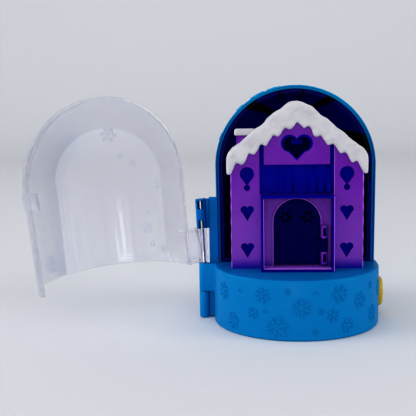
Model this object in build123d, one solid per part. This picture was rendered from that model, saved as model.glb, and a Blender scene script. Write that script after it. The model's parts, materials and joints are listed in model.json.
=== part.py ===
from build123d import *
import math
import os

# Opening snow globe playset: a round base split into two halves, an arched back shell, a clear
# front cover, and a little chalet standing on the front half. The origin is on the floor, in the
# parting plane, midway between the sides. X runs to the right, Y to the back, Z up. Millimetres.

# ---- driving dimensions -------------------------------------------------------------------
GLOBE_RADIUS = 39.8         # outside of the globe at the spring of its dome
BASE_HEIGHT = 28.5
SIDE_HEIGHT = 48.8          # upright part of the globe, from the base's top to the dome's spring
SHELL_WALL = 1.8
COVER_WALL = 1.5
PARTING_GAP = 0.1           # each half stands this far back from the parting plane

BASE_RADIUS = GLOBE_RADIUS + 1.2
BASE_SET = 2.4              # arc centres stand this far either side of the parting plane
BASE_EDGE = 1.0             # rounding of the base's top and bottom rims
GLOBE_FOOT_RADIUS = GLOBE_RADIUS - 0.4      # slight moulding draft
SPRING_HEIGHT = BASE_HEIGHT + SIDE_HEIGHT
PLATE = 2.2                 # bottom plates
PLATE_CLEARANCE = 0.15

RIM_LIP = 1.2               # the cover's lip reaches this far past the parting plane
RIM_LIP_THICKNESS = 0.7
LIP_CLEARANCE = 0.15
LINER_GAP = 0.3             # between the back shell and the liner inside it
LINER_WALL = 1.7
LINER_SET = 0.35            # liner's front edge behind the parting plane

KNUCKLE_RADIUS = 2.5
HINGE_OUT = 5.3             # hinge line of the base, outside the base's wall
HINGE_X = -BASE_RADIUS - HINGE_OUT
COVER_TILT = 2.6            # the cover's hinge line leans outwards at the top, degrees
COVER_OPEN = 147.7          # how far the cover stands open in the rest pose, degrees
KNUCKLE_GAP = 0.2           # between knuckles that turn on each other
LOW_KNUCKLE_TOP = 0.484 * BASE_HEIGHT
UPPER_KNUCKLE_BOTTOM = BASE_HEIGHT + 17.6
UPPER_KNUCKLE_TOP = BASE_HEIGHT + 32.5
PIN_RADIUS = 0.9
PIN_FIT = 0.03              # pin pressed in a knuckle
PIN_RUNNING = 0.08          # knuckle turning on a pin
PIN_TIP_RUNNING = 0.3       # the leaning pin's tip in the base's box knuckle
FLANGE_REACH = KNUCKLE_RADIUS + 0.4     # flange beside the rim, from the hinge towards the globe
FLANGE_DEPTH = 2.2
WEB_BACK = KNUCKLE_RADIUS - 0.2
HINGE_WINDOW = 1.4          # half width of the windows over the pin
ARM_WALL = 1.2              # plate and ribs of the cover's hinge arm
ARM_RIB_DEPTH = 9.5
ARM_RIB_ROOT = 4.0
ARM_HOLLOW = 6.6

TAB_HEIGHT = BASE_HEIGHT + 45.0     # middle of the cover's snap tab
TAB_LENGTH = 8.0
TAB_REACH = 6.0             # tab past the parting plane
TAB_ROOT = 4.5              # tab in front of the parting plane
TAB_WALL = 0.9
LIP_BREAK = 10.0            # the lip stops this far above and below the tab's middle
TAB_CLEARANCE = 0.3         # tab to the shell outside it and the liner inside it
KEEPER_GAP = 0.4
KEEPER_WALL = 1.0
THUMB_PAD = 0.9

HOUSE_FRONT = -16.0         # front of the chalet's wall
HOUSE_WALL = 1.6
HOUSE_HALF_WIDTH = GLOBE_RADIUS - 8.2
HOUSE_BACK = -0.8           # the chalet's side walls and roof end here
BACKING_WALL = 1.2
BAND_RIB = 0.12             # ribs behind the band stand this proud
FIT = 0.1                   # pieces that lie against each other in one body
ROOF_SLOPE = 0.826          # rise over run of the snow's top line
ROOF_RIDGE = SPRING_HEIGHT + 0.872 * GLOBE_RADIUS   # height where the two slopes would meet
ROOF_CROWN_RADIUS = 11.4    # rounding of the ridge
EAVE_X = HOUSE_HALF_WIDTH + 1.8
EAVE_END = BASE_HEIGHT + 48.3       # lowest edge of the snow beside the walls
EAVE_ROUND = 5.5            # rounding of the snow's outer corners
SIDE_LIP = 3.2              # snow over the top of the side walls
SNOW_FRONT = -17.6
SNOW_BACK = -12.5           # behind this the roof is a lower panel
SNOW_DROP = 2.6             # from the snow's top to the panel's top
ROOF_PANEL = 2.0
NOTCH_TOP = ROOF_RIDGE - 12.2       # notches between the snow's drips lie on a rounded slope
NOTCH_SLOPE = 0.78
NOTCH_CROWN = 5.0
DRIP_PITCH = EAVE_X / 5.8
DRIP_STEP = 0.56 * DRIP_PITCH       # from a notch out to the tip of its drip
DRIP_HANG = 1.5             # tips hang this far below the next notch
DRIP_ROUND = 0.95
DRIPS_A_SIDE = 6

DOORWAY_HALF_WIDTH = 11.3
BAY_HALF_WIDTH = DOORWAY_HALF_WIDTH + 6.0   # porch
BAND_HALF_WIDTH = BAY_HALF_WIDTH + 0.6      # opening above the porch
PORCH_FRONT = -24.7
PORCH_WALL = 1.2
PORCH_FLOOR = 1.7
PORCH_ROOF = 1.0
DOORWAY_TOP = BASE_HEIGHT + 34.2
PORCH_TOP = DOORWAY_TOP + 2.1
BAND_TOP = BASE_HEIGHT + 50.7       # bottom of the gable panel
SLOT_WIDTH = 2.1            # slots beside the gable panel
SLOT_TOP = BASE_HEIGHT + 62.0
DOORWAY_TRIM = 0.8
TRIM_PROUD = 0.5
DOOR_GAP = 0.45
DOOR_WALL = 1.4
DOOR_SET = 0.4              # door's face behind the wall's face
DOOR_HINGE_X = DOORWAY_HALF_WIDTH + 1.7
DOOR_HINGE_REACH = 2.3      # door's hinge line in front of the wall
DOOR_KNUCKLE_RADIUS = 1.6
DOOR_PIN_RADIUS = 0.6
DOOR_HINGE_HEIGHTS = (BASE_HEIGHT + 2.7, BASE_HEIGHT + 8.8, BASE_HEIGHT + 15.4, BASE_HEIGHT + 21.5)
DOOR_STRAP = 2.6            # strap laid over the door's edge
DOOR_STRAP_WALL = 1.1
STRAP_CLEARANCE = 0.2
PULL_X = 2.6 - DOORWAY_HALF_WIDTH   # upright bar that the door is pulled by
PULL_FOOT = BASE_HEIGHT + 9.9
PULL_LENGTH = 7.5
PULL_WIDTH = 0.9
PULL_PROUD = 0.8
FLOWER_X = 0.478 * DOORWAY_HALF_WIDTH
FLOWER_HEIGHT = BASE_HEIGHT + 25.2
PETAL_LENGTH = 2.3
PETAL_WIDTH = 1.1
PETAL_OUT = 2.1
PETALS = 6

GABLE_HEART = (15.2, 12.4)  # width and height
GABLE_HEART_HEIGHT = ROOF_RIDGE - 24.7
HEART_FRAME = 1.0           # navy ring inside the gable's heart
WING_HEART = (6.4, 7.3)
WING_HEART_HEIGHTS = (BASE_HEIGHT + 9.0, BASE_HEIGHT + 27.2)
WING_X = (BAY_HALF_WIDTH + HOUSE_HALF_WIDTH) / 2 - 0.55
DROP_HEIGHT = BASE_HEIGHT + 46.3    # middle of the hanging drop ornament
DROP_RADIUS = 3.4
DROP_NECK = 5.0
DROP_NECK_WIDTH = 0.8
DROP_BALL_RADIUS = 1.5
DROP_BALL_HEIGHT = DROP_HEIGHT - 6.6

CHIMNEY_X = -24.9
CHIMNEY_WIDTH = 8.2
CHIMNEY_Y = -6.6
CHIMNEY_DEPTH = 6.4
CHIMNEY_TOP = ROOF_RIDGE - 19.0
CHIMNEY_FLUE = 1.6          # wall of the chimney
CAP_OVERHANG = 1.0
CAP_HEIGHT = 3.3

BUTTON_Y = 6.6
BUTTON_HEIGHT = 0.414 * BASE_HEIGHT     # middle of the button above the floor
BUTTON_WIDTH = 11.0
BUTTON_LENGTH = 15.6
BUTTON_TIP = BASE_RADIUS + 3.6
BUTTON_EDGE = 2.2           # rounding of the button's face
BUTTON_GAP = 0.25
BUTTON_STEM = 3.0           # radius of the stem inside the wall
BUTTON_TRAVEL = 1.6
BUTTON_BACK = BASE_RADIUS - 3.4
STEM_BACK = BASE_RADIUS - 7.0
TONGUE_WALL = 1.6
TONGUE_REACH = 3.2          # latch tongue past the parting plane
TONGUE_HALF_HEIGHT = 2.6
SPRING_RADIUS = 2.2
SPRING_WIRE = 0.4
SPRING_TURNS = 5
RETAINER_X = STEM_BACK - 3.0        # the spring's retainer stands inside the base here
RETAINER_WALL = 1.4
RETAINER_SEAT = 7.0
RETAINER_MARGIN = 2.2

SCREW_RADIUS = 1.1
SCREW_HEAD_RADIUS = 2.1
SCREW_HEAD = 1.2
SCREW_LENGTH = 9.0
RECESS_HALF = 1.3           # arms of the cross recess
RECESS_WIDTH = 0.5
BOSS_RADIUS = 2.6
BOSS_WEB = 0.8
SCREW_FIT = 0.03
SCREW_CLEARANCE = 0.2
SCREW_SIDE = 0.683 * BASE_RADIUS
SCREW_END = 0.878 * BASE_RADIUS
FRONT_SCREWS = ((-SCREW_SIDE, -16.0), (SCREW_SIDE, -16.0), (0.0, -SCREW_END))
REAR_SCREWS = ((-SCREW_SIDE, 16.0), (BASE_RADIUS / 2, 26.0), (0.0, SCREW_END))
HOUSE_SCREW_X = HOUSE_HALF_WIDTH - 5.1
HOUSE_SCREWS = ((-HOUSE_SCREW_X, -8.0), (HOUSE_SCREW_X, -8.0))
HOUSE_BOSS_HEIGHT = 9.0

# ---- sizes that follow --------------------------------------------------------------------
BIG = 400.0
INSIDE_RADIUS = GLOBE_RADIUS - SHELL_WALL
COVER_FOOT = BASE_HEIGHT + 0.3
COVER_HINGE = (HINGE_X, 0, BASE_HEIGHT)
LEAN = math.radians(COVER_TILT)
DOOR_Y = HOUSE_FRONT - DOOR_HINGE_REACH
DOORWAY_SPRING = DOORWAY_TOP - DOORWAY_HALF_WIDTH
PORCH_FLOOR_TOP = BASE_HEIGHT + PORCH_FLOOR
BACKING_FRONT = HOUSE_FRONT + HOUSE_WALL + FIT
BOX_KNUCKLE_BOTTOM = LOW_KNUCKLE_TOP + KNUCKLE_GAP
EAVE_FOOT = EAVE_END - 7
TAB_INSET = SHELL_WALL + TAB_CLEARANCE          # outside of the tab, in from the globe's outside
TAB_POCKET = TAB_INSET + TAB_WALL + TAB_CLEARANCE
FLANGE_X = HINGE_X + FLANGE_REACH
WALL_X = -BASE_RADIUS + 0.8                     # just inside the base's wall, on the hinge side
WALL_DROP = SNOW_DROP + ROOF_PANEL + 2 * FIT    # from the snow's top line to the walls' top


# ---- helpers ------------------------------------------------------------------------------
def block(x0, x1, y0, y1, z0, z1):
    """A box between two corners."""
    box = Box(x1 - x0, y1 - y0, z1 - z0)
    return Pos((x0 + x1) / 2, (y0 + y1) / 2, (z0 + z1) / 2) * box


def rod(x, y, z0, z1, radius):
    """An upright cylinder."""
    return Pos(x, y, (z0 + z1) / 2) * Cylinder(radius, z1 - z0)


def slab(outline, y0, y1):
    """An outline drawn in X and Z, made solid from y0 to y1."""
    face = Plane.XZ * outline
    return Pos(0, y1, 0) * extrude(face, amount=y1 - y0)


def front_half(shape, gap=PARTING_GAP):
    """What lies in front of the parting plane."""
    return shape & block(-BIG, BIG, -BIG, -gap, -BIG, BIG)


def rear_half(shape, gap=PARTING_GAP):
    """What lies behind the parting plane."""
    return shape & block(-BIG, BIG, gap, BIG, -BIG, BIG)


def bell(inset, foot):
    """The globe's solid form, a tall dome of revolution, taken in all round by inset."""
    radius = GLOBE_RADIUS - inset
    foot_radius = GLOBE_FOOT_RADIUS - inset
    crown = SPRING_HEIGHT + radius
    side = radius * math.sin(math.radians(45))
    with BuildPart() as body:
        with BuildSketch(Plane.XZ):
            with BuildLine():
                Line((0, foot), (foot_radius, foot))
                Line((foot_radius, foot), (radius, SPRING_HEIGHT))
                ThreePointArc((radius, SPRING_HEIGHT), (side, SPRING_HEIGHT + side), (0, crown))
                Line((0, crown), (0, foot))
            make_face()
        revolve(axis=Axis.Z)
    return body.part


def drum(inset, z0, z1, set_y, edge=0.0):
    """A round of the base about one half's arc centre, with its rims rounded."""
    round_solid = rod(0, set_y, z0, z1, BASE_RADIUS - inset)
    if edge:
        round_solid = fillet(round_solid.edges().filter_by(GeomType.CIRCLE), edge)
    return round_solid


def lean(shape):
    """Tip a shape about the foot of the cover's hinge line, so that its top leans outwards."""
    there = Pos(*COVER_HINGE)
    return there * Rot(0, -COVER_TILT, 0) * there.inverse() * shape


def on_hinge(z0, z1, radius):
    """A cylinder on the cover's hinge line, between two heights."""
    low = (z0 - BASE_HEIGHT) / math.cos(LEAN) + BASE_HEIGHT
    high = (z1 - BASE_HEIGHT) / math.cos(LEAN) + BASE_HEIGHT
    return lean(rod(HINGE_X, 0, low, high, radius))


def opened(shape):
    """Swing a shape of the closed cover to where it stands open."""
    there = Pos(*COVER_HINGE)
    tip = Rot(0, -COVER_TILT, 0)
    return there * tip * Rot(0, 0, -COVER_OPEN) * tip.inverse() * there.inverse() * shape


def heart(width, height):
    """A heart outline: two round lobes and two straight sides that meet in a point."""
    lobe = 0.27 * width
    reach = width / 2 - lobe
    tip = height - lobe
    lobes = Pos(-reach, 0) * Circle(lobe) + Pos(reach, 0) * Circle(lobe)
    slant = math.atan2(tip, reach)
    turn = math.acos(lobe / math.hypot(reach, tip))
    angle = -slant + turn
    touch = (reach + lobe * math.cos(angle), lobe * math.sin(angle))
    low = make_face(Polyline((0, -tip), touch, (0, lobe * 0.55), (-touch[0], touch[1]), close=True))
    return Pos(0, tip / 2 - lobe / 2) * (lobes + low)


def screws(places, z_head):
    """Screws driven upwards, heads at the bottom."""
    made = []
    for x, y in places:
        head = rod(x, y, z_head, z_head + SCREW_HEAD, SCREW_HEAD_RADIUS)
        wide, thin = RECESS_HALF, RECESS_WIDTH / 2
        slot = block(x - wide, x + wide, y - thin, y + thin, z_head, z_head + RECESS_WIDTH)
        cross = block(x - thin, x + thin, y - wide, y + wide, z_head, z_head + RECESS_WIDTH)
        shank = rod(x, y, z_head + SCREW_HEAD, z_head + SCREW_LENGTH, SCREW_RADIUS)
        made.append(head + shank - slot - cross)
    return Compound(children=made)


def save(shape, name):
    """Write one sub-part."""
    export_step(shape, "parts/" + name + ".step")


# ---- the back half ------------------------------------------------------------------------
def base_shell(keep, set_y):
    """One half of the base: round wall, top and the flat wall at the parting plane."""
    outer = keep(drum(0, 0, BASE_HEIGHT, set_y, BASE_EDGE))
    hollow = keep(drum(SHELL_WALL, -1, BASE_HEIGHT - SHELL_WALL, set_y), PARTING_GAP + SHELL_WALL)
    return outer - hollow


def bosses(places):
    """Screw bosses that hang from the top of the base."""
    made = None
    for x, y in places:
        boss = rod(x, y, PLATE + FIT, BASE_HEIGHT - SHELL_WALL, BOSS_RADIUS)
        bore = rod(x, y, 0, PLATE + SCREW_LENGTH + 1, SCREW_RADIUS + SCREW_FIT)
        made = boss - bore if made is None else made + (boss - bore)
    return made


def tongue_slot():
    """The slot through both parting walls that the latch tongue passes."""
    half = TONGUE_HALF_HEIGHT + BUTTON_GAP
    x0 = STEM_BACK - BUTTON_TRAVEL - BUTTON_GAP
    x1 = STEM_BACK + TONGUE_WALL + BUTTON_GAP
    return block(x0, x1, -4, 4, BUTTON_HEIGHT - half, BUTTON_HEIGHT + half)


def button_opening():
    """The opening in the base's wall for the button."""
    width = BUTTON_WIDTH + 2 * BUTTON_GAP
    length = BUTTON_LENGTH + 2 * BUTTON_GAP
    oval = Plane.YZ * Ellipse(width / 2, length / 2)
    inner = BUTTON_BACK - BUTTON_TRAVEL - BUTTON_GAP
    return Pos(inner, BUTTON_Y, BUTTON_HEIGHT) * extrude(oval, amount=20)


def rim_rebate():
    """The step inside the back shell's rim that takes the cover's lip."""
    inset = COVER_WALL - RIM_LIP_THICKNESS - LIP_CLEARANCE
    ring = bell(inset, BASE_HEIGHT - 1) - bell(SHELL_WALL + 1, BASE_HEIGHT - 2)
    ring = ring & block(-BIG, BIG, -1, RIM_LIP + LIP_CLEARANCE, BASE_HEIGHT, BIG)
    return ring


def back_shell():
    """Arched rear of the globe, its half of the base and its hinge knuckles, in one moulding."""
    dome = rear_half(bell(0, BASE_HEIGHT - 1) - bell(SHELL_WALL, BASE_HEIGHT - 2))
    dome = dome & block(-BIG, BIG, 0, BIG, BASE_HEIGHT, BIG)
    # flange beside the rim, with the web that carries the upper knuckle
    outer = bell(SHELL_WALL / 2, BASE_HEIGHT - 1)
    flange = block(FLANGE_X, -INSIDE_RADIUS + 2, PARTING_GAP, FLANGE_DEPTH,
                   BASE_HEIGHT - 0.5, UPPER_KNUCKLE_TOP + 0.8) - outer
    body = dome + flange - rim_rebate()
    body += base_shell(rear_half, BASE_SET) + bosses(REAR_SCREWS)
    body -= button_opening()
    body -= tongue_slot()
    web = block(HINGE_X - 1.2, FLANGE_X + 0.4, PIN_RADIUS, WEB_BACK, UPPER_KNUCKLE_BOTTOM, UPPER_KNUCKLE_TOP)
    knuckle = on_hinge(UPPER_KNUCKLE_BOTTOM, UPPER_KNUCKLE_TOP, KNUCKLE_RADIUS)
    body += web + knuckle
    windows = (
        (UPPER_KNUCKLE_TOP - 5.0, UPPER_KNUCKLE_TOP - 0.7),
        (UPPER_KNUCKLE_BOTTOM - 1, UPPER_KNUCKLE_BOTTOM + 4.2),
    )
    for low, high in windows:
        window = block(HINGE_X - HINGE_WINDOW, HINGE_X + HINGE_WINDOW, -2 * KNUCKLE_RADIUS, -0.2, low, high)
        body -= lean(window)
    body -= on_hinge(UPPER_KNUCKLE_BOTTOM - 1, UPPER_KNUCKLE_TOP - 0.6, PIN_RADIUS + PIN_FIT)
    # lowest knuckle, joined to the base by a web at the back
    low = rod(HINGE_X, 0, 0.3, LOW_KNUCKLE_TOP, KNUCKLE_RADIUS)
    low_web = block(HINGE_X, WALL_X, 0.3, WEB_BACK, 0.3, LOW_KNUCKLE_TOP)
    body += low + low_web
    body -= rod(HINGE_X, 0, 1.2, LOW_KNUCKLE_TOP + 1, PIN_RADIUS + PIN_FIT)
    # keeper rib for the cover's snap tab
    rib = block(0, BIG, TAB_REACH + KEEPER_GAP, TAB_REACH + KEEPER_GAP + KEEPER_WALL,
                TAB_HEIGHT - TAB_LENGTH / 2, TAB_HEIGHT + TAB_LENGTH / 2)
    return body + (rib & (bell(SHELL_WALL / 2, BASE_HEIGHT) - bell(TAB_INSET + TAB_WALL, BASE_HEIGHT - 1)))


def interior_backdrop():
    """Dark liner inside the back shell: floor, round wall and dome."""
    outside = SHELL_WALL + LINER_GAP
    floor = BASE_HEIGHT + FIT
    liner = bell(outside, floor) - bell(outside + LINER_WALL, floor + LINER_WALL)
    liner = liner & block(-BIG, BIG, LINER_SET, BIG, 0, BIG)
    half = TAB_LENGTH / 2 + 2 * TAB_CLEARANCE
    deep = TAB_REACH + KEEPER_GAP + KEEPER_WALL + 2 * TAB_CLEARANCE
    pocket = block(0, BIG, -1, deep, TAB_HEIGHT - half, TAB_HEIGHT + half)
    return liner - (pocket - bell(TAB_POCKET, floor - 1))


def bottom_plate(keep, set_y, places):
    """Flat plate that closes one half of the base, with countersunk screw holes."""
    plate = keep(drum(SHELL_WALL + PLATE_CLEARANCE, 0, PLATE, set_y), PARTING_GAP + SHELL_WALL + PLATE_CLEARANCE)
    for x, y in places:
        plate -= rod(x, y, -1, PLATE + 1, SCREW_RADIUS + SCREW_CLEARANCE)
        plate -= rod(x, y, -1, SCREW_HEAD + 0.1, SCREW_HEAD_RADIUS + SCREW_CLEARANCE)
    return plate


def cover_hinge_pin():
    """Steel pin of the cover: held in the upper knuckle, its tip in the box knuckle."""
    return on_hinge(BASE_HEIGHT - 2.2, UPPER_KNUCKLE_TOP - 0.7, PIN_RADIUS)


def base_hinge_pin():
    """Steel pin of the base, held in the lowest knuckle."""
    return rod(HINGE_X, 0, 1.3, BASE_HEIGHT - 4.5, PIN_RADIUS)


def latch_button():
    """Oval push button with a domed face, a stem and the latch tongue."""
    width, length = BUTTON_WIDTH, BUTTON_LENGTH
    oval = Plane.YZ * Ellipse(width / 2, length / 2)
    body = extrude(oval, amount=BUTTON_TIP - BUTTON_BACK)
    rim = body.faces().sort_by(Axis.X)[-1].edges()
    body = Pos(BUTTON_BACK, BUTTON_Y, BUTTON_HEIGHT) * fillet(rim, BUTTON_EDGE)
    stem_length = BUTTON_BACK + 0.4 - STEM_BACK
    stem = Pos(STEM_BACK + stem_length / 2, BUTTON_Y, BUTTON_HEIGHT)
    stem = stem * Rot(0, 90, 0) * Cylinder(BUTTON_STEM, stem_length)
    tongue = block(STEM_BACK, STEM_BACK + TONGUE_WALL, -TONGUE_REACH, BUTTON_Y,
                   BUTTON_HEIGHT - TONGUE_HALF_HEIGHT, BUTTON_HEIGHT + TONGUE_HALF_HEIGHT)
    return body + stem + tongue


def button_retainer():
    """Upright bracket behind the button that guides it and backs its spring."""
    half = BUTTON_STEM + RETAINER_MARGIN
    y0 = max(BUTTON_Y - half, PARTING_GAP + SHELL_WALL + FIT)
    y1 = BUTTON_Y + half
    back = RETAINER_X - RETAINER_WALL
    wall = block(back, RETAINER_X, y0, y1, PLATE + FIT, BUTTON_HEIGHT + half)
    seat = block(RETAINER_X - RETAINER_SEAT, back, y0, y1, PLATE + FIT, PLATE + RETAINER_WALL)
    spigot = Pos(RETAINER_X + RETAINER_WALL / 2 - FIT, BUTTON_Y, BUTTON_HEIGHT) * Rot(0, 90, 0)
    spigot = spigot * Cylinder(SPRING_RADIUS - 2 * SPRING_WIRE, RETAINER_WALL)
    return wall + seat + spigot


def latch_spring():
    """Coil spring between the retainer and the button's stem."""
    start = RETAINER_X + SPRING_WIRE
    end = STEM_BACK - SPRING_WIRE
    path = Helix((end - start) / SPRING_TURNS, end - start, SPRING_RADIUS)
    profile = Plane(path @ 0, z_dir=path % 0) * Circle(SPRING_WIRE - 0.05)
    coil = sweep(profile, path=path, is_frenet=True)
    return Pos(start, BUTTON_Y, BUTTON_HEIGHT) * Rot(0, 90, 0) * coil


# ---- the clear cover ----------------------------------------------------------------------
def clear_cover():
    """Clear front half of the globe with its lip, snap tab and hinge arm, closed, then opened."""
    gap = PARTING_GAP
    shell = front_half(bell(0, COVER_FOOT) - bell(COVER_WALL, COVER_FOOT - 1), gap)
    inset = COVER_WALL - RIM_LIP_THICKNESS
    lip = bell(inset, COVER_FOOT) - bell(COVER_WALL, COVER_FOOT - 1)
    lip = lip & block(-BIG, BIG, -gap - 0.5, RIM_LIP, COVER_FOOT, BIG)
    lip -= block(0, BIG, -gap, BIG, TAB_HEIGHT - LIP_BREAK, TAB_HEIGHT + LIP_BREAK)
    cover = shell + lip
    # snap tab on the free side: a tongue that follows the round wall, and a thumb pad outside it
    low = TAB_HEIGHT - TAB_LENGTH / 2
    high = TAB_HEIGHT + TAB_LENGTH / 2
    inside = bell(TAB_INSET + TAB_WALL, COVER_FOOT - 1)
    tongue = (bell(TAB_INSET, COVER_FOOT) - inside) & block(0, BIG, -TAB_ROOT, TAB_REACH, low, high)
    root = (bell(COVER_WALL / 2, COVER_FOOT) - inside) & block(0, BIG, -TAB_ROOT, -0.6, low, high)
    pad = block(GLOBE_RADIUS - COVER_WALL / 2, GLOBE_RADIUS + THUMB_PAD, -TAB_ROOT, -gap, low, high)
    cover += tongue + root + pad
    # hinge arm: barrel on the hinge line, upright plate and two ribs along the wall
    bottom = COVER_FOOT
    top = UPPER_KNUCKLE_BOTTOM - KNUCKLE_GAP
    outside = bell(COVER_WALL / 2, COVER_FOOT - 5)
    inner = -INSIDE_RADIUS
    arm = block(HINGE_X, inner, -KNUCKLE_RADIUS, -KNUCKLE_RADIUS + ARM_WALL, bottom, top)
    for level in (bottom, top - ARM_WALL):
        rib = block(HINGE_X, inner + ARM_RIB_ROOT, -ARM_RIB_DEPTH, -gap, level, level + ARM_WALL)
        rib -= Pos(HINGE_X, -ARM_RIB_DEPTH - ARM_HOLLOW / 2, level) * Cylinder(ARM_HOLLOW, 10)
        arm += rib
    arm -= outside
    barrel = on_hinge(bottom, top, KNUCKLE_RADIUS)
    clear = on_hinge(BASE_HEIGHT - 3, UPPER_KNUCKLE_TOP, PIN_RADIUS + PIN_RUNNING)
    cover = cover + arm + barrel - clear
    return opened(cover)


# ---- the front half -----------------------------------------------------------------------
def drum_front():
    """Front half of the base with the box knuckle of its hinge."""
    body = base_shell(front_half, -BASE_SET) + bosses(FRONT_SCREWS)
    half = KNUCKLE_RADIUS
    box = block(HINGE_X, WALL_X, -half, -PARTING_GAP, BOX_KNUCKLE_BOTTOM, BASE_HEIGHT)
    box += rod(HINGE_X, 0, BOX_KNUCKLE_BOTTOM, BASE_HEIGHT, half)
    box -= block(HINGE_X + 1.3, 0, -PARTING_GAP, 2 * half, 0, BIG)
    body += box - drum(SHELL_WALL, -1, BASE_HEIGHT - SHELL_WALL, -BASE_SET)
    body -= rod(HINGE_X, 0, 0, BASE_HEIGHT - 4.3, PIN_RADIUS + PIN_RUNNING)
    body -= rod(HINGE_X, 0, BASE_HEIGHT - 2.6, BASE_HEIGHT + 1, PIN_RADIUS + PIN_TIP_RUNNING)
    body -= tongue_slot()
    for x, y in HOUSE_SCREWS:
        body -= rod(x, y, BASE_HEIGHT - 5, BASE_HEIGHT + 1, SCREW_RADIUS + SCREW_CLEARANCE)
    return body


def gable_line(drop, half_width, low):
    """House outline: upright sides and two slopes with a rounded ridge, lowered by drop."""
    ridge = ROOF_RIDGE - drop
    eave = ridge - ROOF_SLOPE * half_width
    outline = make_face(Polyline((-half_width, low), (half_width, low), (half_width, eave),
                                 (0, ridge), (-half_width, eave), close=True))
    return fillet(outline.vertices().sort_by(Axis.Y)[-1], ROOF_CROWN_RADIUS)


def doorway(grow):
    """Arched doorway outline, made larger all round by grow, open at the bottom."""
    half = DOORWAY_HALF_WIDTH + grow
    foot = BASE_HEIGHT - 5
    leg = Pos(0, (foot + DOORWAY_SPRING) / 2) * Rectangle(2 * half, DOORWAY_SPRING - foot)
    return leg + Pos(0, DOORWAY_SPRING) * Circle(half)


def wing_cutouts():
    """Hearts and hanging drops cut in the two wings of the wall."""
    shapes = []
    for side in (-1, 1):
        for height in WING_HEART_HEIGHTS:
            shapes.append(Pos(side * WING_X, height) * heart(*WING_HEART))
        drop = Circle(DROP_RADIUS)
        wide, thin = 0.84 * DROP_RADIUS, DROP_NECK_WIDTH / 2
        foot = DROP_BALL_HEIGHT - DROP_HEIGHT
        neck = make_face(Polyline((-wide, wide - DROP_RADIUS * 1.38), (wide, wide - DROP_RADIUS * 1.38),
                                  (thin, -DROP_NECK), (thin, foot), (-thin, foot), (-thin, -DROP_NECK),
                                  close=True))
        shapes.append(Pos(side * WING_X, DROP_HEIGHT) * (drop + neck))
        shapes.append(Pos(side * WING_X, DROP_BALL_HEIGHT) * Circle(DROP_BALL_RADIUS))
    return shapes


def house_facade():
    """Purple front wall with its side walls, cut out for windows, door and the band."""
    front, back = HOUSE_FRONT, HOUSE_FRONT + HOUSE_WALL
    wall = slab(gable_line(WALL_DROP, HOUSE_HALF_WIDTH, BASE_HEIGHT), front, back)
    cut0, cut1 = front - 5, back + 5
    wall -= block(-BAND_HALF_WIDTH, BAND_HALF_WIDTH, cut0, cut1, PORCH_TOP, BAND_TOP)
    for side in (-1, 1):
        x = sorted((side * BAND_HALF_WIDTH, side * (BAND_HALF_WIDTH - SLOT_WIDTH)))
        wall -= block(x[0], x[1], cut0, cut1, BAND_TOP - 1, SLOT_TOP)
    wall -= slab(doorway(0), cut0, cut1)
    wall -= slab(Pos(0, GABLE_HEART_HEIGHT) * heart(*GABLE_HEART), cut0, cut1)
    for shape in wing_cutouts():
        wall -= slab(shape, cut0, cut1)
    eave = ROOF_RIDGE - WALL_DROP - ROOF_SLOPE * HOUSE_HALF_WIDTH
    for side in (-1, 1):
        x = sorted((side * HOUSE_HALF_WIDTH, side * (HOUSE_HALF_WIDTH - HOUSE_WALL)))
        wall += block(x[0], x[1], front, HOUSE_BACK, BASE_HEIGHT, eave)
    # trim round the doorway
    trim = slab(doorway(DOORWAY_TRIM) - doorway(0), front - TRIM_PROUD, front)
    wall += trim & block(-BIG, BIG, -BIG, BIG, PORCH_FLOOR_TOP + FIT, BIG)
    # hinge brackets of the door, with windows over its pins
    for low, high in (DOOR_HINGE_HEIGHTS[0:2], DOOR_HINGE_HEIGHTS[2:4]):
        bracket = rod(DOOR_HINGE_X, DOOR_Y, low, high, DOOR_KNUCKLE_RADIUS)
        bracket += block(DOOR_HINGE_X - DOOR_KNUCKLE_RADIUS, DOOR_HINGE_X + DOOR_KNUCKLE_RADIUS,
                         DOOR_Y, front + 0.5, low, high)
        bracket -= slab(doorway(0), cut0 - 5, cut1)
        bracket -= block(DOOR_HINGE_X - 0.7, DOOR_HINGE_X + 0.9, DOOR_Y - 4, DOOR_Y, low + 1.1, high - 1.1)
        bracket -= rod(DOOR_HINGE_X, DOOR_Y, low - 1, high + 1, DOOR_PIN_RADIUS + PIN_RUNNING)
        wall += bracket
    for x, y in HOUSE_SCREWS:
        boss = rod(x, y, BASE_HEIGHT, BASE_HEIGHT + HOUSE_BOSS_HEIGHT, BOSS_RADIUS)
        side = x / abs(x)
        ends = sorted((x, side * (HOUSE_HALF_WIDTH - HOUSE_WALL + 0.2)))
        top = BASE_HEIGHT + HOUSE_BOSS_HEIGHT
        boss += block(ends[0], ends[1], y - BOSS_WEB, y + BOSS_WEB, BASE_HEIGHT, top)
        bore = rod(x, y, 0, top - BOSS_WEB, SCREW_RADIUS + SCREW_FIT)
        wall += boss
        wall -= bore
    return wall


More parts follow.
